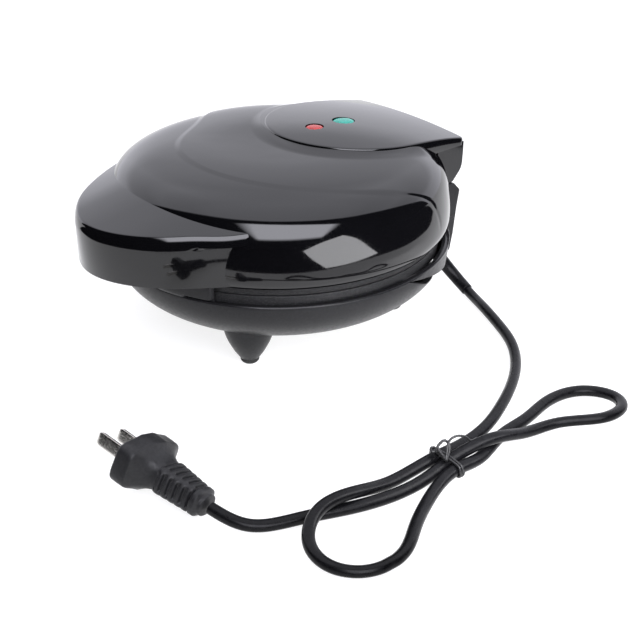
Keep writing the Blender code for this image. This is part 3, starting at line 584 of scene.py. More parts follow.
def point_at(s):
    return np.array([np.interp(s, run, line[:, k]) for k in range(3)])


def oval_cord():
    """A two-core sheath of oval section that rolls a little as it runs, resting on its low side."""
    spots = np.arange(0.0, run[-1] - 0.5, 1.3)
    centres = np.array([point_at(s) for s in spots])
    ways = np.gradient(centres, axis=0)
    ways /= np.linalg.norm(ways, axis=1)[:, None]
    rings = []
    kept = []
    for s, c, t in zip(spots, centres, ways):
        flat = np.cross((0.0, 0.0, 1.0), t)
        flat /= max(np.linalg.norm(flat), 1e-6)
        up = np.cross(t, flat)
        roll = 0.45 * math.sin(s / 61.0) + 0.3 * math.sin(s / 23.0 + 1.7)
        blend = min(1.0, max(0.0, (s - 20.0) / 30.0)) * min(1.0, max(0.0, (run[-1] - s) / 30.0))
        u = flat * math.cos(roll) + up * math.sin(roll)
        v = up * math.cos(roll) - flat * math.sin(roll)
        half_u = (CORD_WIDE * blend + 5.2 * (1 - blend)) / 2
        half_v = (CORD_THIN * blend + 5.2 * (1 - blend)) / 2
        tall = math.hypot(half_u * math.sin(roll), half_v * math.cos(roll))
        c = c - np.array((0.0, 0.0, max(0.0, CORD_D / 2 - tall - 0.2)))
        c[0] = min(c[0], 204.88 - CORD_WIDE / 2)
        kept.append(tuple(world(*c)))
        ring = []
        for i in range(24):
            a = 2 * math.pi * i / 24
            ca, sa = math.cos(a), math.sin(a)
            ring.append(
                Vector(c + u * (half_u * math.copysign(abs(ca) ** 0.88, ca)) + v * (half_v * math.copysign(abs(sa) ** 0.88, sa)))
            )
        rings.append(ring)
    return loft(rings), kept


cord_mesh, cord_path = oval_cord()
power_cord = piece("power_cord_sheath", cord_mesh, SHEATH, "base", ["power_cord"], "cord_pvc", 60.0)

exit_point = Vector(CORD_EXIT)
exit_dir = Vector(CORD_EXIT_DIR).normalized()


def sleeve():
    """The moulded sleeve round the cord at the shell: a bulb inside, then a long taper."""
    path, radii = [], []
    for s, r in ((-13.4, 4.0), (-13.2, 4.9), (-12.6, 5.2), (-11.2, 5.2), (-10.7, 4.9), (-10.55, 4.2), (-5.0, 4.15)):
        path.append(tuple(exit_point + exit_dir * s))
        radii.append(r)
    for k in range(41):
        s = SLEEVE_LENGTH * k / 40
        path.append(tuple(point_at(s)))
        radii.append(3.97 - 0.70 * (s / SLEEVE_LENGTH) ** 0.85)
    for ds, r in ((0.25, 3.25), (0.45, 3.05)):
        path.append(tuple(point_at(SLEEVE_LENGTH + ds)))
        radii.append(r)
    return sweep(path, radii, 36)


strain_relief = piece("strain_relief_sleeve", sleeve(), SHEATH, "base", ["strain_relief"], "cord_pvc", 50.0)

# ---------------------------------------------------------------- plug
PLUG_END = (133.2, -136.0, 6.6)
plug_axis = Vector((-0.956, -0.225, 0.182)).normalized()
plug_wide = Vector((0.279, -0.887, 0.368))
plug_wide = (plug_wide - plug_axis * plug_wide.dot(plug_axis)).normalized()
plug_thin = plug_axis.cross(plug_wide)
if plug_thin.z < 0:
    plug_thin = -plug_thin
PLUG_LENGTH, PIN_LENGTH, PIN_SPACING = 40.5, 17.7, 12.7


def smooth_unit(t):
    t = min(1.0, max(0.0, t))
    return t * t * (3 - 2 * t)


def plug_point(s, w, t):
    return Vector(PLUG_END) + plug_axis * s + plug_wide * w + plug_thin * t


def plug_ring(s, half_w, half_t, power, bulge=0.0, cut=0.0, count=96):
    """One ring of the plug; a cut lowers its faces and leaves the spines at its corners."""
    out = []
    for i in range(count):
        a = 2 * math.pi * (i + 0.5) / count
        c, d = math.cos(a), math.sin(a)
        low = cut * (1.0 - 0.92 * smooth_unit((abs(2 * c * d) - 0.72) / 0.2))
        w = (half_w - low) * math.copysign(abs(c) ** (2 / power), c)
        t = (half_t - low) * math.copysign(abs(d) ** (2 / power), d)
        t += math.copysign(bulge * math.exp(-((w / 6.2) ** 2)), t)
        out.append(plug_point(s, w, t))
    return out


def plug_stations():
    out = [(0.0, 4.2, 4.1, 2.2), (0.25, 4.9, 4.8, 2.2), (1.6, 5.2, 5.0, 2.3), (2.2, 6.2, 5.7, 2.6), (2.7, 6.8, 6.1, 2.7), (4.6, 6.9, 6.2, 2.7), (5.1, 6.5, 5.8, 2.6), (5.4, 5.3, 5.1, 2.4)]
    for k in range(5):
        s = 7.6 + 3.4 * k
        w = 6.2 + (s - 7.6) * 2.2 / 13.6
        t = 6.4 + (s - 7.6) * 0.5 / 13.6
        for ds, cut in ((-1.45, 1.5), (-1.05, 1.45), (-0.9, 0.5), (-0.6, 0.06), (0.0, 0.0), (0.6, 0.04), (0.9, 0.5), (1.05, 1.4), (1.45, 1.45)):
            out.append((s + ds, w + ds * 0.1, t, 3.2, 0.0, cut))
    for k in range(15):
        u = k / 14
        s = 23.2 + u * 9.2
        grow = u**2.3
        out.append((s, 7.5 + 8.0 * grow, 6.5 + 2.9 * u**1.6, 2.9 + 1.6 * u, 2.4 * u * u))
    for s, cut in ((33.0, 0.0), (36.0, -0.1), (39.4, -0.1), (40.0, 0.1), (40.35, 0.5), (40.5, 1.1)):
        out.append((s, 15.7 - cut, 9.5 - cut, 4.6, 2.4))
    return out


plug_body = piece("plug_moulding", loft([plug_ring(*st) for st in plug_stations()]), PLUG, "base", ["plug_body"], "plug_pvc", 42.0)
for side, sign in (("left", -1), ("right", 1)):
    rows = []
    for s, half, thick in (
        (PLUG_LENGTH - 1.0, 3.15, 0.75),
        (PLUG_LENGTH + PIN_LENGTH - 2.2, 3.15, 0.75),
        (PLUG_LENGTH + PIN_LENGTH - 1.2, 2.95, 0.66),
        (PLUG_LENGTH + PIN_LENGTH - 0.3, 2.5, 0.4),
        (PLUG_LENGTH + PIN_LENGTH, 2.2, 0.25),
    ):
        ring = []
        for i in range(24):
            a = 2 * math.pi * (i + 0.5) / 24
            c, d = math.cos(a), math.sin(a)
            ring.append(
                plug_point(
                    s,
                    sign * PIN_SPACING / 2 + thick * math.copysign(abs(c) ** 0.3, c),
                    half * math.copysign(abs(d) ** 0.22, d),
                )
            )
        rows.append(ring)
    piece(f"plug_blade_{side}", loft(rows), NICKEL, "base", [f"plug_pin_{side}"], "plug_metal", 40.0)


# ---------------------------------------------------------------- twist tie
TIE_LOOP = (
    (171.1, -39.0, 7.6), (169.3, -36.6, 8.2), (168.3, -34.8, 9.2), (167.3, -33.8, 10.8), (165.7, -33.5, 12.2), (164.4, -34.1, 12.6),
    (164.1, -36.1, 12.0), (164.4, -38.0, 10.8), (166.5, -38.5, 9.4), (168.7, -38.4, 8.4), (170.9, -38.5, 7.6),
)
TIE_ARC = (
    (170.3, -38.7, 7.8), (168.9, -36.8, 9.6), (167.6, -35.2, 11.6), (166.6, -33.4, 13.0), (166.1, -30.7, 13.6), (166.4, -28.3, 13.6),
    (166.8, -25.9, 12.8), (167.0, -23.5, 11.2), (167.4, -21.9, 9.4), (167.5, -20.4, 8.4), (167.0, -16.7, 8.0),
)
TIE_TAIL = (
    (171.0, -38.8, 7.7), (168.6, -38.6, 8.0), (165.8, -38.4, 8.3), (164.1, -38.9, 8.6), (163.6, -40.2, 8.8), (162.1, -39.8, 9.0),
    (161.5, -38.4, 9.2), (162.4, -37.7, 9.2), (163.8, -38.4, 9.0), (165.4, -38.9, 8.7),
)


def tie_mesh():
    """Coated wire wound round the three strands, its ends bent up into loops."""
    parts = []
    for dy, grow in ((-0.75, 0.0), (0.55, 0.1)):
        path = []
        for k in range(49):
            a = 2 * math.pi * k / 48
            c, d = math.cos(a), math.sin(a)
            half = 6.1
            x = 168.4 + math.copysign(half, c) * min(1.0, abs(c) * 1.6) + (3.35 + grow) * c
            z = 4.05 + (3.3 + grow) * math.copysign(abs(d) ** 0.8, d)
            path.append((x, -36.0 + dy + 0.7 * (k / 48 - 0.5), z))
        parts.append(sweep(path, [0.62] * len(path), 12))
    for points, thick in ((TIE_LOOP, 0.62), (TIE_ARC, 0.55), (TIE_TAIL, 0.6)):
        path = [tuple(q) for q in smooth_through(points, 0.35)]
        radii = [thick * (1.0 + 0.12 * math.sin(1.9 * k)) for k in range(len(path))]
        parts.append(sweep(path, radii, 12))
    return joined(*parts)


cord_tie = piece("cord_tie_wire", tie_mesh(), TIE, "base", ["cord_tie"], "tie_plastic", 60.0)

# ---------------------------------------------------------------- shared shapes
BOWL_R, BOWL_TOP, BOWL_CENTRE_Z, BOWL_DEPTH, BOWL_POWER, WALL = 88.46, 45.0, 45.9, 38.1, 2.26, 2.5
GAP = 0.3
PLATE_R, PARTING_Z, PLATE_T = 83.8, 48.8, 2.3
CAVITY_OUT, CAVITY_IN, CAVITY_DEPTH, CAVITY_PITCH = 24.0, 7.0, 9.5, 53.5
BOSS_RING, BOSS_ANGLES = 30.9, (60.0, 180.0, 300.0)
LID_STATIONS = (
    (87.5, 53.5),
    (88.9, 57.0),
    (89.2, 61.0),
    (88.85, 66.8),
    (88.1, 72.0),
    (87.3, 76.0),
    (86.0, 80.2),
    (83.2, 84.6),
    (77.5, 88.9),
    (70.0, 91.7),
    (60.0, 93.3),
    (45.0, 94.2),
    (25.0, 94.5),
    (0.0, 94.6),
)
TIER_CENTRE_Y, TIER_R, TIER_RISE = 29.2, 79.6, 0.42
HINGE_Y, HINGE_Z, KNUCKLE_R, HINGE_PIN_R, BLOCK_HALF, NOTCH_Y = 86.2, 65.7, 3.0, 1.5, 42.5, 72.3
HANDLE_BOTTOM = 54.5
HANDLE_HALF = (
    (0.0, -113.5),
    (12.0, -111.6),
    (23.0, -106.5),
    (34.0, -98.0),
    (42.0, -89.0),
    (49.0, -79.0),
    (54.4, -70.0),
    (58.5, -61.9),
    (61.6, -54.0),
)
COVER_R, COVER_CY, COVER_REAR = 46.0, 47.5, 91.0
FOOT_X, FOOT_Y = 37.7, 47.9
RED_LAMP_Y, GREEN_LAMP_Y = 23.2, 42.7


def polar(radius, degrees):
    a = math.radians(degrees)
    return radius * math.cos(a), radius * math.sin(a)


def bowl_stations(radius, depth, count, top=BOWL_TOP):
    end = math.acos(max((BOWL_CENTRE_Z - top) / depth, 0.0) ** (BOWL_POWER / 2))
    out = [(0.0, BOWL_CENTRE_Z - depth)]
    for k in range(1, count + 1):
        a = end * k / count
        t = math.cos(a) ** (2 / BOWL_POWER)
        out.append((radius * math.sin(a) ** (2 / BOWL_POWER), BOWL_CENTRE_Z - depth * t))
    return out


def skirt_bottom(y):
    return 44.2 - 0.26 * (y - 15.3)


def smoothstep(t):
    t = min(1.0, max(0.0, t))
    return t * t * (3 - 2 * t)


def cover_top(x, y):
    return 98.8 - 0.0015 * (y - 23.0) ** 2 - 0.00108 * x * x


def tier_edge(x, y):
    """How far inside the tier's edge a spot lies; the edge is flatter at the front left."""
    turn = math.degrees(math.atan2(-x, -(y - TIER_CENTRE_Y)))
    flat = 9.0 * math.exp(-(((turn - 50.0) / 22.0) ** 2))
    return TIER_R - flat - math.hypot(x, y - TIER_CENTRE_Y)


def cover_gap(x, y):
    """How far outside the hinge cover's outline a spot lies."""
    if y < COVER_CY:
        return math.hypot(x, y - COVER_CY) - COVER_R
    t = (y - COVER_CY) / (COVER_REAR - 2.9 - COVER_CY)
    return abs(x) - COVER_R + 2.7 * smoothstep(t)


def lid_rise(x, y, z):
    """Upward rise of the tier and of the fillet at the cover, and the inward depth of its crease."""
    up, crease = 0.0, 0.0
    d = tier_edge(x, y)
    if d > -4.0:
        turn = math.degrees(math.atan2(x, -(y - TIER_CENTRE_Y)))
        side = smoothstep((turn - 75.0) / 12.0) * (1.0 - smoothstep((turn - 104.0) / 14.0))
        left = smoothstep((-turn - 60.0) / 25.0)
        soft = 4.0 - 3.2 * side - 2.2 * left
        tall = TIER_RISE + 1.15 * smoothstep((y + 30.0) / 60.0) * smoothstep((10.0 - x) / 50.0)
        up += tall * smoothstep(d / (soft + 0.8 * (tall - TIER_RISE)) + 0.5)
        crease = 0.12 * side * math.exp(-(((d + 0.4) / 0.5) ** 2)) * smoothstep((z - 59.0) / 9.0)
    near = cover_gap(x, y)
    if near < 8.0 and z > 78.0:
        lift = 1.9 * max(0.0, 1.0 - max(near, 0.0) / 8.0) ** 2 * smoothstep((near + 5.0) / 3.0)
        lift *= smoothstep((z - 80.0) / 8.0) * (1.0 - smoothstep((y - 54.0) / 14.0))
        up = min(up + lift, max(up, cover_top(x, y) - 0.9 - z))
    return up, crease


def lid_profile(step):
    """The dome's outline from its rounded bottom edge to the apex."""
    body = smooth_through([(r, z) for r, z in LID_STATIONS], step)
    edge = [(86.6, 53.5), (87.0, 53.56), (87.3, 53.75), (87.46, 54.05)]
    return edge + [(float(r), float(z)) for r, z in body if z > 54.3 and r > 0.3] + [(0.0, LID_STATIONS[-1][1])]


def dome(sides, step):
    """The lid's outer volume; its tier and fillet are raised straight up, and its crease is pressed in along the
    surface's own normals.
    """
    rows = []
    bm = bmesh.new()
    for r, z in lid_profile(step):
        if r < 1e-6:
            rows.append([bm.verts.new((0.0, 0.0, z))])
            continue
        angles = [2 * math.pi * (i + 0.5) / sides for i in range(sides)]
        rows.append([bm.verts.new((r * math.cos(a), r * math.sin(a), z)) for a in angles])
    low = bm.verts.new((0.0, 0.0, rows[0][0].co.z))
    for i in range(sides):
        bm.faces.new((low, rows[0][(i + 1) % sides], rows[0][i]))
    for a, b in zip(rows[:-1], rows[1:]):
        for i in range(sides):
            j = (i + 1) % sides
            if len(b) == 1:
                bm.faces.new((a[i], a[j], b[0]))
            else:
                bm.faces.new((a[i], a[j], b[j], b[i]))
    bmesh.ops.recalc_face_normals(bm, faces=bm.faces)
    fine = set()
    for face in bm.faces:
        c = face.calc_center_median()
        if c.z > 60.0 and (abs(tier_edge(c.x, c.y)) < 3.2 or -0.6 < cover_gap(c.x, c.y) < 4.0):
            fine.update(face.edges)
    bmesh.ops.subdivide_edges(bm, edges=list(fine), cuts=2, use_grid_fill=True)
    bm.normal_update()
    for v in bm.verts:
        if v.co.z > 59.0:
            up, crease = lid_rise(v.co.x, v.co.y, v.co.z)
            v.co -= v.normal * crease
            v.co.z += up
    return bm


# ---------------------------------------------------------------- lid
lid = raw("lid_dome", dome(420, 0.6))
inside = raw(
    "lid_hollow",
    turned(
        [(0.0, 45.0), (85.0, 45.0)]
        + [(float(r) - 2.4 * float(min(1.0, (95 - z) / 8.0)), float(z) - 2.5 * float(smoothstep((z - 70.0) / 20.0))) for r, z in smooth_through(LID_STATIONS, 2.5) if r > 3.0]
        + [(0.0, 92.1)],
        160,
    ),
)
carve(
    inside,
    ("DIFFERENCE", box(-45.3, 45.3, 69.5, 100.0, 63.4, 110.0)),
    ("DIFFERENCE", box(-35.0, 35.0, 80.3, 100.0, 54.9, 64.0)),
)
carve(
    lid,
    ("DIFFERENCE", box(-42.8, 42.8, 72.0, 100.0, 65.7, 110.0)),
    ("DIFFERENCE", box(-32.0, 32.0, 82.8, 100.0, 40.0, 66.4)),
    ("DIFFERENCE", inside),
    (
        "DIFFERENCE",
        joined(
            turned([(0.0, 85.0), (4.9, 85.0), (4.9, 105.0), (0.0, 105.0)], 48, (0.0, RED_LAMP_Y)),
            turned([(0.0, 85.0), (6.1, 85.0), (6.1, 105.0), (0.0, 105.0)], 48, (0.0, GREEN_LAMP_Y)),
        ),
    ),
)
piece("lid_dome", lid, GLOSS, "lid", ["lid_shell"], "gloss_shell", 30.0)


# ---------------------------------------------------------------- slabs with a rounded rim
def inset(outline, distance):
    """A closed outline moved inwards along its normals; it runs counter-clockwise."""
    n = len(outline)
    out = []
    for k, (x, y) in enumerate(outline):
        x0, y0 = outline[k - 1]
        x1, y1 = outline[(k + 1) % n]
        dx, dy = x1 - x0, y1 - y0
        size = math.hypot(dx, dy) or 1.0
        out.append((x - dy / size * distance, y + dx / size * distance))
    return out


def even(outline, count):
    """The closed outline again, with its points evenly spaced."""
    p = np.array(list(outline) + [outline[0]])
    s = np.r_[0.0, np.cumsum(np.linalg.norm(np.diff(p, axis=0), axis=1))]
    u = np.linspace(0.0, s[-1], count, endpoint=False)
    return [(float(np.interp(v, s, p[:, 0])), float(np.interp(v, s, p[:, 1]))) for v in u]


def slab(outline, top, radius, depth, bottom, centre, rings=36, start=0.0, lip=None):
    """A solid under the surface top(x, y), its sides upright and its upper rim an elliptic round.

    A start angle leaves a crease where the round meets the side, and a lip is the wider outline
    that the rim follows.
    """
    brim = lip or outline
    rows = []
    for k in range(13):
        a = math.pi / 2 - (math.pi / 2 - start) * k / 12
        ring = inset(brim, radius * (math.cos(start) - math.cos(a)) / math.cos(start))
        drop = depth * (1 - math.sin(a)) / (1 - math.sin(start))
        rows.append([(x, y, top(x, y) - drop) for x, y in ring])
    rows = rows[::-1]  # from the side wall up to the flat top
    if lip:
        rows.insert(0, [(x, y, top(x, y) - depth - 1.3) for x, y in outline])
        rows.insert(0, [(x, y, top(x, y) - depth - 1.9) for x, y in outline])
    inner = inset(brim, radius)
    cx, cy = centre
    for k in range(1, rings):
        t = 1 - k / rings
        rows.append([(cx + (x - cx) * t, cy + (y - cy) * t) for x, y in inner])
        rows[-1] = [(x, y, top(x, y)) for x, y in rows[-1]]
    bm = bmesh.new()
    low = [[(x, y, bottom) for x, y in inset(outline, 0.35)], [(x, y, bottom + 0.12) for x, y in inset(outline, 0.1)], [(x, y, bottom + 0.4) for x, y in outline]]
    walls = low + rows
    verts = [[bm.verts.new(p) for p in row] for row in walls]
    n = len(outline)
    for a, b in zip(verts[:-1], verts[1:]):
        for i in range(n):
            j = (i + 1) % n
            bm.faces.new((a[i], a[j], b[j], b[i]))
    tip = bm.verts.new((cx, cy, top(cx, cy)))
    for i in range(n):
        bm.faces.new((verts[-1][i], verts[-1][(i + 1) % n], tip))
    bm.faces.new(verts[0])
    bmesh.ops.recalc_face_normals(bm, faces=bm.faces)
    return bm


def cover_outline():
    out = []
    for k in range(121):
        a = math.radians(-180 + 1.5 * k)
        out.append((COVER_R * math.cos(a), COVER_CY + COVER_R * math.sin(a)))
    for k in range(1, 20):  # right side, drawn in a little towards the back
        t = k / 20
        out.append((COVER_R - 2.7 * smoothstep(t), COVER_CY + (COVER_REAR - 2.9 - COVER_CY) * t))
    for k in range(13):
        a = math.radians(90 * k / 12)
        out.append((40.4 + 2.9 * math.cos(a), COVER_REAR - 2.9 + 2.9 * math.sin(a)))
    for k in range(13):
        a = math.radians(90 + 90 * k / 12)
        out.append((-40.4 + 2.9 * math.cos(a), COVER_REAR - 2.9 + 2.9 * math.sin(a)))
    for k in range(19, 0, -1):
        t = k / 20
        out.append((-(COVER_R - 2.7 * smoothstep(t)), COVER_CY + (COVER_REAR - 2.9 - COVER_CY) * t))
    return even(out, 300)


cover = raw("hinge_cover_cap", slab(cover_outline(), cover_top, 1.0, 1.2, 86.0, (0.0, 48.0), 44))
rear = [(NOTCH_Y, 66.3), (NOTCH_Y + 0.3, 66.0), (84.7, 66.0)]
rear += [(84.7 + 0.9 * math.sin(a), 66.9 - 0.9 * math.cos(a)) for a in (0.35, 0.65)]
rear += [(89.6, 71.5), (90.3, 72.8), (90.75, 74.4), (91.0, 76.4), (90.9, 82.0), (90.6, 88.0), (NOTCH_Y, 88.0)]
carve(
    cover,
    ("UNION", loft([[(side * (BLOCK_HALF + 0.5 - 0.055 * (88.0 - z)), y, z) for y, z in rear] for side in (-1, 1)])),
    ("DIFFERENCE", box(-17.0, 17.0, 76.0, 86.5, 55.0, 84.0)),
    (
        "UNION",
        joined(
            bar_x(29.0, 38.2, HINGE_Y, HINGE_Z, KNUCKLE_R, soft=0.5),
            bar_x(-38.2, -29.0, HINGE_Y, HINGE_Z, KNUCKLE_R, soft=0.5),
        ),
    ),
    (
        "DIFFERENCE",
        joined(
            bar_x(19.7, 28.85, HINGE_Y, HINGE_Z, KNUCKLE_R + 0.35),
            bar_x(-28.85, -19.7, HINGE_Y, HINGE_Z, KNUCKLE_R + 0.35),
        ),
    ),
    (
        "DIFFERENCE",
        joined(
            bar_x(28.7, 37.8, HINGE_Y, HINGE_Z, HINGE_PIN_R + GAP, 32),
            bar_x(-37.8, -28.7, HINGE_Y, HINGE_Z, HINGE_PIN_R + GAP, 32),
            turned([(0.0, 85.0), (4.9, 85.0), (4.9, 105.0), (0.0, 105.0)], 64, (0.0, RED_LAMP_Y)),
            turned([(0.0, 85.0), (6.1, 85.0), (6.1, 105.0), (0.0, 105.0)], 64, (0.0, GREEN_LAMP_Y)),
        ),
    ),
)
piece("hinge_cover_cap", cover, GLOSS, "lid", ["hinge_cover"], "gloss_shell", 30.0)

for name, y, radius, finish, slot_name in (
    ("red_lamp_lens", RED_LAMP_Y, 4.6, RED, "red_lens"),
    ("green_lamp_lens", GREEN_LAMP_Y, 5.8, GREEN, "green_lens"),
):
    top = cover_top(0.0, y)
    profile = [(0.0, 91.5), (radius, 91.5), (radius, top - 0.9)]
    for k in range(1, 13):
        a = math.pi / 2 * k / 12
        profile.append((radius * math.cos(a) ** 0.55 if k < 12 else 0.0, top - 0.9 + 0.86 * math.sin(a)))
    piece(name + "_dome", turned(profile, 72, (0.0, y)), finish, "lid", [name], slot_name, 40.0)


# ---------------------------------------------------------------- handles
def handle_outline():
    """The handle seen from above: its front edge, closed by a round curve within the dome."""
    half = list(HANDLE_HALF) + [(60.5, -46.0), (54.0, -41.0), (40.0, -39.5), (20.0, -39.0)]
    whole = [(-x, y) for x, y in reversed(half[1:])] + half
    points = smooth_through(whole, 0.8)
    return even([(float(x), float(y)) for x, y in points], 380)


def handle_top(x, y):
    return 85.0 + 0.197 * (y + 83.0) - 0.00228 * x * x


def handle_lip():
    """The rim stands a little wider than the wall towards the handle's two tips."""
    out = []
    line = handle_outline()
    for (x, y), (wx, wy) in zip(line, inset(line, -1.0)):
        wide = 2.3 * smoothstep((x - 44.0) / 13.0 if x > 0.0 else (-x - 18.0) / 42.0)
        out.append((x + (wx - x) * wide, y + (wy - y) * wide))
    return out


handle = raw(
    "front_handle",
    slab(handle_outline(), handle_top, 2.1, 4.9, HANDLE_BOTTOM, (0.0, -80.0), 40, start=0.42, lip=handle_lip()),
)
room_outline = [(x, y) for x, y in inset(handle_outline(), 2.6) if y < -62.0]
hollow = raw("handle_hollow", prism(room_outline, 50.0, 92.0))
top_tool = bmesh.new()
grid = [[(x, y) for x in np.linspace(-70, 70, 29)] for y in np.linspace(-125, -45, 17)]
low = [[top_tool.verts.new((x, y, handle_top(x, y) - 2.8)) for x, y in row] for row in grid]
high = [[top_tool.verts.new((x, y, 120.0)) for x, y in row] for row in grid]
for layer in (low, high):
    for j in range(16):
        for i in range(28):
            top_tool.faces.new((layer[j][i], layer[j][i + 1], layer[j + 1][i + 1], layer[j + 1][i]))
edge = [(0, i) for i in range(29)] + [(j, 28) for j in range(1, 17)] + [(16, i) for i in range(27, -1, -1)] + [(j, 0) for j in range(15, 0, -1)]
for a, b in zip(edge, edge[1:] + edge[:1]):
    top_tool.faces.new((low[a[0]][a[1]], low[b[0]][b[1]], high[b[0]][b[1]], high[a[0]][a[1]]))
bmesh.ops.recalc_face_normals(top_tool, faces=top_tool.faces)
carve(
    hollow,
    ("DIFFERENCE", top_tool),
    ("DIFFERENCE", turned([(0.0, 40.0), (92.4, 40.0), (92.4, 110.0), (0.0, 110.0)], 160, phase=0.5)),
)
carve(
    handle,
    ("DIFFERENCE", hollow),
    ("DIFFERENCE", turned([(0.0, 40.0), (86.9, 40.0), (86.9, 79.0), (80.0, 86.0), (70.0, 90.0), (0.0, 92.0)], 200, phase=0.5)),
)
piece("front_handle", handle, GLOSS, "lid", ["upper_handle"], "gloss_shell", 30.0)


LUG_HALF, LUG_SLOT = 46.6, 33.0


def lug_mesh():
    """The satin lug under the handle: it grows out of the bowl and ends in a short free tongue."""
    rows = []
    for k in range(121):
        x = LUG_HALF * (k / 60 - 1)
        free = smoothstep((abs(x) - LUG_SLOT) / 0.9)
        section = [(86.5, 44.0), (86.9, 43.4)]
        for t in np.linspace(0.0, 1.0, 9):
            blended = (87.6 + 1.35 * smoothstep(t), 42.2 + 4.4 * t)
            slotted = (86.9 + 2.05 * t, 46.1 + 0.5 * max(0.0, t - 0.75))
            section.append(tuple(b * (1 - free) + s * free for b, s in zip(blended, slotted)))
        section += [(89.0, 47.6), (89.0, 52.3)]
        section += [(88.5 + 0.5 * math.cos(a), 52.6 + 0.5 * math.sin(a)) for a in (0.4, 0.8, 1.2, math.pi / 2)]
        section += [(87.0, 53.1), (86.5, 52.7)]
        draw = 0.06 if k in (0, 120) else 0.0
        row = []
        for r, z in section:
            r += (87.8 - r) * draw
            z += (49.6 - z) * draw
            row.append((x, -math.sqrt(r * r - x * x), z))
        rows.append(row)
    return loft(rows)


piece("lug_under_handle", lug_mesh(), SATIN, "base", ["lower_handle"], "satin_shell", 40.0)

# ---------------------------------------------------------------- base
outer = bowl_stations(BOWL_R, BOWL_DEPTH, 44, 44.25)
base = raw("base_bowl", turned(outer + [(88.4, 44.36), (88.02, 44.86), (87.85, 44.96), (87.6, 45.0), (0.0, 45.0)], 288))
feet = joined(
    *[
        turned(
            [(0.0, 2.7), (4.5, 2.7), (4.95, 2.85), (5.35, 3.4), (6.6, 5.2), (7.9, 7.2), (9.3, 9.8), (10.7, 12.6), (12.0, 16.0), (13.0, 20.0), (13.8, 26.0), (0.0, 26.0)],
            64,
            (sx * FOOT_X, sy * FOOT_Y),
        )
        for sx in (-1, 1)
        for sy in (-1, 1)
    ]
)
skirt = raw("skirt_form", turned([(0.0, 20.0), (84.5, 20.0), (87.45, BOWL_TOP - 0.25), (87.3, BOWL_TOP - 0.05), (0.0, BOWL_TOP - 0.05)], 288, (0.0, 3.5), phase=0.5))
carve(
    skirt,
    (
        "INTERSECT",
        prism_x(
            [(13.5, BOWL_TOP + 2), (13.5, skirt_bottom(13.5)), (83.9, skirt_bottom(83.9)), (83.9, BOWL_TOP + 2)],
            -95.0,
            95.0,
        ),
    ),
)
house_profile = [
    (60.0, skirt_bottom(60.0) - 0.3),
    (84.2, skirt_bottom(84.2) - 0.3),
    (84.9, skirt_bottom(84.6) + 0.3),
    (86.8, 35.9),
    (88.6, 51.5),
    (89.9, 59.0),
    (90.1, 60.1),
    (89.8, 60.9),
    (85.9, 64.9),
    (85.2, 65.4),
    (84.6, 65.5),
    (78.5, 65.5),
    (78.5, BOWL_TOP - 0.1),
    (60.0, BOWL_TOP - 0.1),
]
housing = raw("housing_form", prism_x(house_profile, -BLOCK_HALF, BLOCK_HALF))
room = raw("lid_room", turned([(0.0, BOWL_TOP - 0.05), (89.8, BOWL_TOP - 0.05), (89.8, 70.0), (0.0, 70.0)], 288, phase=0.5))
carve(room, ("INTERSECT", box(-95.0, 95.0, 0.0, 84.7, 30.0, 80.0)))
carve(housing, ("DIFFERENCE", room))
carve(
    base,
    ("UNION", feet),
    ("UNION", skirt),
    ("UNION", housing),
    (
        "UNION",
        joined(
            bar_x(20.0, 28.7, HINGE_Y, HINGE_Z, KNUCKLE_R, soft=0.5),
            bar_x(-28.7, -20.0, HINGE_Y, HINGE_Z, KNUCKLE_R, soft=0.5),
        ),
    ),
    ("DIFFERENCE", turned(bowl_stations(BOWL_R - WALL, BOWL_DEPTH - WALL, 20) + [(BOWL_R - WALL, 46.5), (0.0, 46.5)], 160, phase=0.5)),
)
carve(
    base,
    (
        "UNION",
        joined(
            *[
                turned([(0.0, 10.4), (5.2, 10.4), (5.2, 31.5), (0.0, 31.5)], 40, polar(BOSS_RING, a))
                for a in BOSS_ANGLES
            ]
        ),
    ),
    (
        "DIFFERENCE",
        joined(
            *[
                turned([(0.0, 5.0), (3.6, 5.0), (3.6, 13.0), (1.8, 13.0), (1.8, 33.0), (0.0, 33.0)], 36, polar(BOSS_RING, a), phase=0.31)
                for a in BOSS_ANGLES
            ],
            *[
                turned([(0.0, 2.0), (2.3, 2.0), (2.3, 5.8), (0.0, 5.8)], 24, (sx * FOOT_X, sy * FOOT_Y), phase=0.31)
                for sx in (-1, 1)
                for sy in (-1, 1)
            ],
        ),
    ),
    ("DIFFERENCE", bar(exit_point - exit_dir * 17, exit_point + exit_dir * 9, 4.5, 40)),
    (
        "DIFFERENCE",
        joined(
            bar_x(28.85, 38.4, HINGE_Y, HINGE_Z, KNUCKLE_R + 0.35),
            bar_x(-38.4, -28.85, HINGE_Y, HINGE_Z, KNUCKLE_R + 0.35),
        ),
    ),
)
under = [13.6, 22.0, 32.0, 44.0, 58.0, 72.0, 84.4]
recess = raw(
    "skirt_recess",
    prism_x(
        [(y, skirt_bottom(y) + 0.05) for y in under]
        + [(y, skirt_bottom(y) - 0.35 - 4.6 * smoothstep((y - 12.0) / 24.0)) for y in reversed(under)],
        -95.0,
        95.0,
    ),
)
carve(
    recess,
    ("DIFFERENCE", turned(bowl_stations(BOWL_R - 3.3, BOWL_DEPTH - 3.3, 30) + [(BOWL_R - 3.3, 60.0), (0.0, 60.0)], 200, phase=0.37)),
    ("DIFFERENCE", box(-BLOCK_HALF, BLOCK_HALF, 55.0, 95.0, 5.0, 60.0)),
)
carve(base, ("DIFFERENCE", recess))
piece("base_bowl", base, SATIN, "base", ["base_shell"], "satin_shell", 32.0)

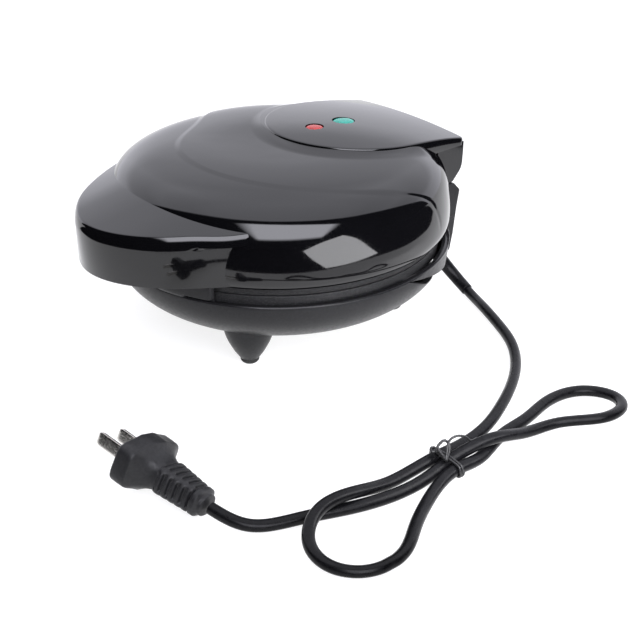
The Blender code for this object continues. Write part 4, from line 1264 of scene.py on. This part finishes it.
for index, (sx, sy) in enumerate(((-1, -1), (1, -1), (-1, 1), (1, 1))):
    name = ("front_left", "front_right", "rear_left", "rear_right")[index]
    piece(
        f"foot_tip_{name}",
        turned(
            [(0.0, 0.0), (3.0, 0.0), (3.7, 0.15), (4.3, 0.7), (4.7, 1.3), (4.8, 1.8), (4.8, 2.3), (4.6, 2.6), (2.0, 2.6), (2.0, 5.3), (0.0, 5.3)],
            56,
            (sx * FOOT_X, sy * FOOT_Y),
        ),
        RUBBER,
        "base",
        [f"rubber_foot_{name}"],
        "foot_rubber",
        50.0,
    )


# ---------------------------------------------------------------- plates
def heating_plate(name, node, side, body):
    face = PARTING_Z + side * GAP / 2
    rim = 6.7 if side < 0 else 5.6

    def z(depth):
        return face + side * depth

    plate = raw(
        name,
        turned(
            [
                (0.0, z(0.0)),
                (PLATE_R - 0.7, z(0.0)),
                (PLATE_R - 0.3, z(0.08)),
                (PLATE_R - 0.06, z(0.3)),
                (PLATE_R, z(0.7)),
                (PLATE_R, z(rim)),
                (PLATE_R - 2.3, z(rim)),
                (PLATE_R - 2.3, z(PLATE_T)),
                (0.0, z(PLATE_T)),
            ],
            256,
        ),
    )
    pockets = [(0.0, 0.0)] + [polar(CAVITY_PITCH, 30.0 + 60.0 * k) for k in range(6)]
    boss_depth = 15.55 if side < 0 else 15.85
    mid = (CAVITY_OUT + CAVITY_IN) / 2
    half = (CAVITY_OUT - CAVITY_IN) / 2
    arc = [
        (mid + half * math.cos(math.radians(b)), z(CAVITY_DEPTH * math.sin(math.radians(b)) ** 0.85))
        for b in np.linspace(6.0, 174.0, 27)
    ]
    ring_section = [(CAVITY_OUT + 1.4, z(-1.0)), (CAVITY_OUT + 0.55, z(0.12)), (CAVITY_OUT + 0.15, z(0.5))] + arc + [(CAVITY_IN - 0.15, z(0.5)), (CAVITY_IN - 0.55, z(0.12)), (CAVITY_IN - 1.4, z(-1.0))]
    carve(
        plate,
        (
            "UNION",
            joined(
                *[
                    turned([(0.0, z(1.2)), (26.3, z(1.2)), (26.3, z(8.6)), (25.4, z(10.2)), (22.0, z(12.0)), (0.0, z(12.0))], 60, c, phase=0.3)
                    for c in pockets
                ],
                *[
                    turned([(0.0, z(1.2)), (4.0, z(1.2)), (4.0, z(boss_depth)), (0.0, z(boss_depth))], 28, polar(BOSS_RING, a))
                    for a in BOSS_ANGLES
                ],
            ),
        ),
    )
    carve(
        plate,
        (
            "DIFFERENCE",
            joined(
                *[turned(ring_section, 88, c, ring=True, phase=0.3) for c in pockets],
                *[
                    turned([(0.0, z(7.0)), (1.8, z(7.0)), (1.8, z(boss_depth + 1.5)), (0.0, z(boss_depth + 1.5))], 20, polar(BOSS_RING, a), phase=0.31)
                    for a in BOSS_ANGLES
                ],
            ),
        ),
    )
    return piece(name, plate, COATED, body, [node], "coated_plate", 30.0)


heating_plate("ring_plate_lower", "lower_heating_plate", -1, "base")
heating_plate("ring_plate_upper", "upper_heating_plate", 1, "lid")

# ---------------------------------------------------------------- carried-over nodes
INNER = {
    STEEL: ("base_screw_", "plate_screw_", "lid_screw_", "handle_screw_", "hinge_pin_"),
    ELEMENT: ("lower_element", "upper_element"),
    SHEET: ("lower_heat_shield", "upper_heat_shield"),
    CERAMIC: ("thermostat", "thermal_fuse"),
    THERMOSET: ("terminal_block", "lamp_holder"),
    LEAD: ("supply_lead", "element_lead", "lid_lead"),
    NEON: ("red_neon_lamp", "green_neon_lamp"),
}
for finish, starts in INNER.items():
    for node, obj in frame["nodes"].items():
        if node.startswith(starts):
            obj.data.materials.clear()
            obj.data.materials.append(finish)

# ---------------------------------------------------------------- stage and light
floor_mesh = bpy.data.meshes.new("studio_floor")
floor_mesh.from_pydata([(-6, -6, 0), (6, -6, 0), (6, 6, 0), (-6, 6, 0)], [], [(0, 1, 2, 3)])
floor = bpy.data.objects.new("studio_floor", floor_mesh)
SCENE.collection.objects.link(floor)
floor.location.z = -0.0002
ground = Finish("studio_floor", (0.93, 0.93, 0.93), 0.7)
ground.colour(ground.noise(3.0, 2.0), [(0.2, (0.29, 0.29, 0.29)), (0.8, (0.31, 0.31, 0.31))])
ground.shader.inputs["Specular IOR Level"].default_value = 0.0
ground.shader.inputs["Emission Color"].default_value = (1.0, 1.0, 1.0, 1.0)
ground.shader.inputs["Emission Strength"].default_value = 0.8
floor_mesh.materials.append(ground.material)

# a dark cloth laid on the floor in front, which only polished surfaces show
card_mesh = bpy.data.meshes.new("dark_card")
NEAR_EDGE = (
    (-55.0, 330.0),
    (-30.0, 288.0),
    (-5.0, 300.0),
    (15.0, 285.0),
    (32.0, 263.0),
    (53.0, 257.0),
    (64.0, 257.0),
    (80.0, 267.0),
    (91.0, 283.0),
    (110.0, 293.0),
    (126.0, 281.0),
    (136.0, 284.0),
    (145.0, 290.0),
    (152.0, 302.0),
    (157.0, 328.0),
    (161.0, 372.0),
    (163.0, 440.0),
)
arc = np.linspace(-55.0, 163.0, 219)
near = [float(np.interp(a, [e[0] for e in NEAR_EDGE], [e[1] for e in NEAR_EDGE])) for a in arc]
near = np.convolve(np.pad(near, 4, mode="edge"), np.ones(9) / 9.0, mode="valid")
card_rings = [
    [world(r * math.sin(math.radians(a)), -r * math.cos(math.radians(a)), 0.2) for a, r in zip(arc, ring)]
    for ring in (near, [9500.0] * 219)
]
card_mesh.from_pydata(
    [tuple(v) for ring in card_rings for v in ring],
    [],
    [(k, k + 1, 219 + k + 1, 219 + k) for k in range(218)],
)
card = bpy.data.objects.new("dark_card", card_mesh)
SCENE.collection.objects.link(card)
felt = Finish("dark_card", (0.012, 0.012, 0.012), 0.9)
felt.colour(felt.noise(60.0, 3.0), [(0.3, (0.005, 0.005, 0.005)), (0.7, (0.007, 0.007, 0.0075))])
felt.shader.inputs["Specular IOR Level"].default_value = 0.0
card_mesh.materials.append(felt.material)
card.visible_camera = False
card.visible_diffuse = False
card.visible_shadow = False
card.visible_transmission = False

sky = bpy.data.worlds.new("studio_world")
SCENE.world = sky
sky.use_nodes = True
tree = sky.node_tree
backdrop = tree.nodes["Background"]


def sky_math(operation, a, b=0.0, clamp=False):
    node = tree.nodes.new("ShaderNodeMath")
    node.operation = operation
    node.use_clamp = clamp
    for socket, value in zip(node.inputs, (a, b)):
        if isinstance(value, (int, float)):
            socket.default_value = value
        else:
            tree.links.new(value, socket)
    return node.outputs[0]


# a wide overhead panel: its front and right edges are straight, its near corner is rounded
split = tree.nodes.new("ShaderNodeSeparateXYZ")
tree.links.new(tree.nodes.new("ShaderNodeTexCoord").outputs["Generated"], split.inputs["Vector"])
rise = sky_math("MAXIMUM", split.outputs["Z"], 0.03)
east = sky_math("DIVIDE", split.outputs["X"], rise)
north = sky_math("DIVIDE", split.outputs["Y"], rise)
CORNER = 0.58
front_in = sky_math("ADD", sky_math("ADD", sky_math("MULTIPLY", east, -0.375), sky_math("MULTIPLY", north, 0.927)), 0.371)
right_in = sky_math("SUBTRACT", 0.523, sky_math("ADD", sky_math("MULTIPLY", east, 0.987), sky_math("MULTIPLY", north, -0.159)))
short_front = sky_math("MAXIMUM", sky_math("SUBTRACT", CORNER, front_in), 0.0)
short_right = sky_math("MAXIMUM", sky_math("SUBTRACT", CORNER, right_in), 0.0)
reach = sky_math(
    "SQRT",
    sky_math("ADD", sky_math("MULTIPLY", short_front, short_front), sky_math("MULTIPLY", short_right, short_right)),
)
panel = sky_math("MULTIPLY", sky_math("SUBTRACT", CORNER + 0.035, reach), 14.0, clamp=True)
bands = tree.nodes.new("ShaderNodeValToRGB")
tree.links.new(rise, bands.inputs["Fac"])
stops = bands.color_ramp.elements
while len(stops) < 7:
    stops.new(0.5)
for stop, (at, level) in zip(stops, ((0.05, 0.62), (0.27, 0.66), (0.38, 0.47), (0.56, 0.50), (0.74, 0.69), (0.9, 0.90), (1.0, 0.95))):
    stop.position = at
    stop.color = (level, level, level, 1.0)
flat = sky_math("SQRT", sky_math("MAXIMUM", sky_math("SUBTRACT", 1.0, sky_math("MULTIPLY", split.outputs["Z"], split.outputs["Z"])), 0.0001))
aside = sky_math(
    "SUBTRACT",
    1.0,
    sky_math("DIVIDE", sky_math("ADD", sky_math("MULTIPLY", split.outputs["X"], -0.809), sky_math("MULTIPLY", split.outputs["Y"], 0.588)), flat),
)
mid = sky_math("MULTIPLY", sky_math("SUBTRACT", 0.84, rise), 6.0, clamp=True)
lift = sky_math("MULTIPLY", sky_math("MULTIPLY", sky_math("MULTIPLY", aside, 13.0, clamp=True), mid), 0.40)
glow = sky_math("ADD", sky_math("MULTIPLY", bands.outputs["Color"], 2.0), lift)


def gate(value, low, gain):
    """0 below low, rising to 1 over 1/gain."""
    return sky_math("MULTIPLY", sky_math("SUBTRACT", value, low), gain, clamp=True)


def across(a, b):
    return sky_math("ADD", sky_math("MULTIPLY", east, a), sky_math("MULTIPLY", north, b))


# a soft panel at the front right, between four straight edges
window = sky_math("MULTIPLY", gate(across(0.666, -0.746), 0.50, 14.0), gate(across(0.742, 0.670), -0.36, 5.0))
window = sky_math("MULTIPLY", window, gate(across(-0.244, -0.970), -0.47, 7.0))
window = sky_math("MULTIPLY", window, gate(split.outputs["Z"], 0.16, 9.0))
backdrop_value = sky_math(
    "ADD",
    sky_math("ADD", sky_math("MULTIPLY", panel, glow), 0.011),
    sky_math("MULTIPLY", window, 6.6),
)
tint = tree.nodes.new("ShaderNodeCombineColor")
tree.links.new(sky_math("MULTIPLY", backdrop_value, 0.965), tint.inputs[0])
tree.links.new(sky_math("MULTIPLY", backdrop_value, 0.965), tint.inputs[1])
tree.links.new(sky_math("MULTIPLY", backdrop_value, 1.05), tint.inputs[2])
tree.links.new(tint.outputs[0], backdrop.inputs["Color"])
backdrop.inputs["Strength"].default_value = 1.0


def softbox(name, place, aim, size, radiance, shade=(1.0, 1.0, 1.0)):
    """A rectangular light, its power worked out from how bright its face looks."""
    data = bpy.data.lights.new(name, "AREA")
    data.shape = "RECTANGLE"
    data.size, data.size_y = size
    data.energy = radiance * math.pi * size[0] * size[1]
    data.color = shade
    made = bpy.data.objects.new(name, data)
    SCENE.collection.objects.link(made)
    made.location = world(*place)
    made.rotation_mode = "QUATERNION"
    made.rotation_quaternion = (world(*aim) - made.location).to_track_quat("-Z", "Y")
    made.visible_camera = False
    return made


fill = softbox("side_card", (201.0, -27.0, 60.0), (88.0, -27.0, 60.0), (0.102, 0.070), 10.0, (1.0, 1.0, 1.03))
fill.visible_glossy = False
back_fill = softbox("back_fill", (185.0, 120.0, 62.0), (70.0, 50.0, 40.0), (0.110, 0.090), 8.0, (1.0, 1.0, 1.03))
back_fill.visible_glossy = False

# the pale panel beside it, which the polished side of the lid shows
panel_mesh = bpy.data.meshes.new("side_panel")
panel_mesh.from_pydata(
    [tuple(world(201.0, y, z)) for y, z in ((-94.0, 66.0), (-17.0, 98.0), (52.0, 34.0), (-50.0, 25.0))],
    [],
    [(0, 1, 2, 3)],
)
side_panel = bpy.data.objects.new("side_panel", panel_mesh)
SCENE.collection.objects.link(side_panel)
pale = Finish("side_panel", (0.8, 0.8, 0.8), 0.9)
pale.colour(pale.noise(60.0, 3.0), [(0.3, (0.78, 0.78, 0.78)), (0.7, (0.82, 0.82, 0.82))])
pale.shader.inputs["Emission Color"].default_value = (1.0, 1.0, 1.03, 1.0)
pale.shader.inputs["Emission Strength"].default_value = 5.6
panel_mesh.materials.append(pale.material)
side_panel.visible_camera = False
side_panel.visible_diffuse = False
side_panel.visible_shadow = False
side_panel.visible_transmission = False

SCENE.view_settings.view_transform = "Standard"
SCENE.view_settings.look = "None"
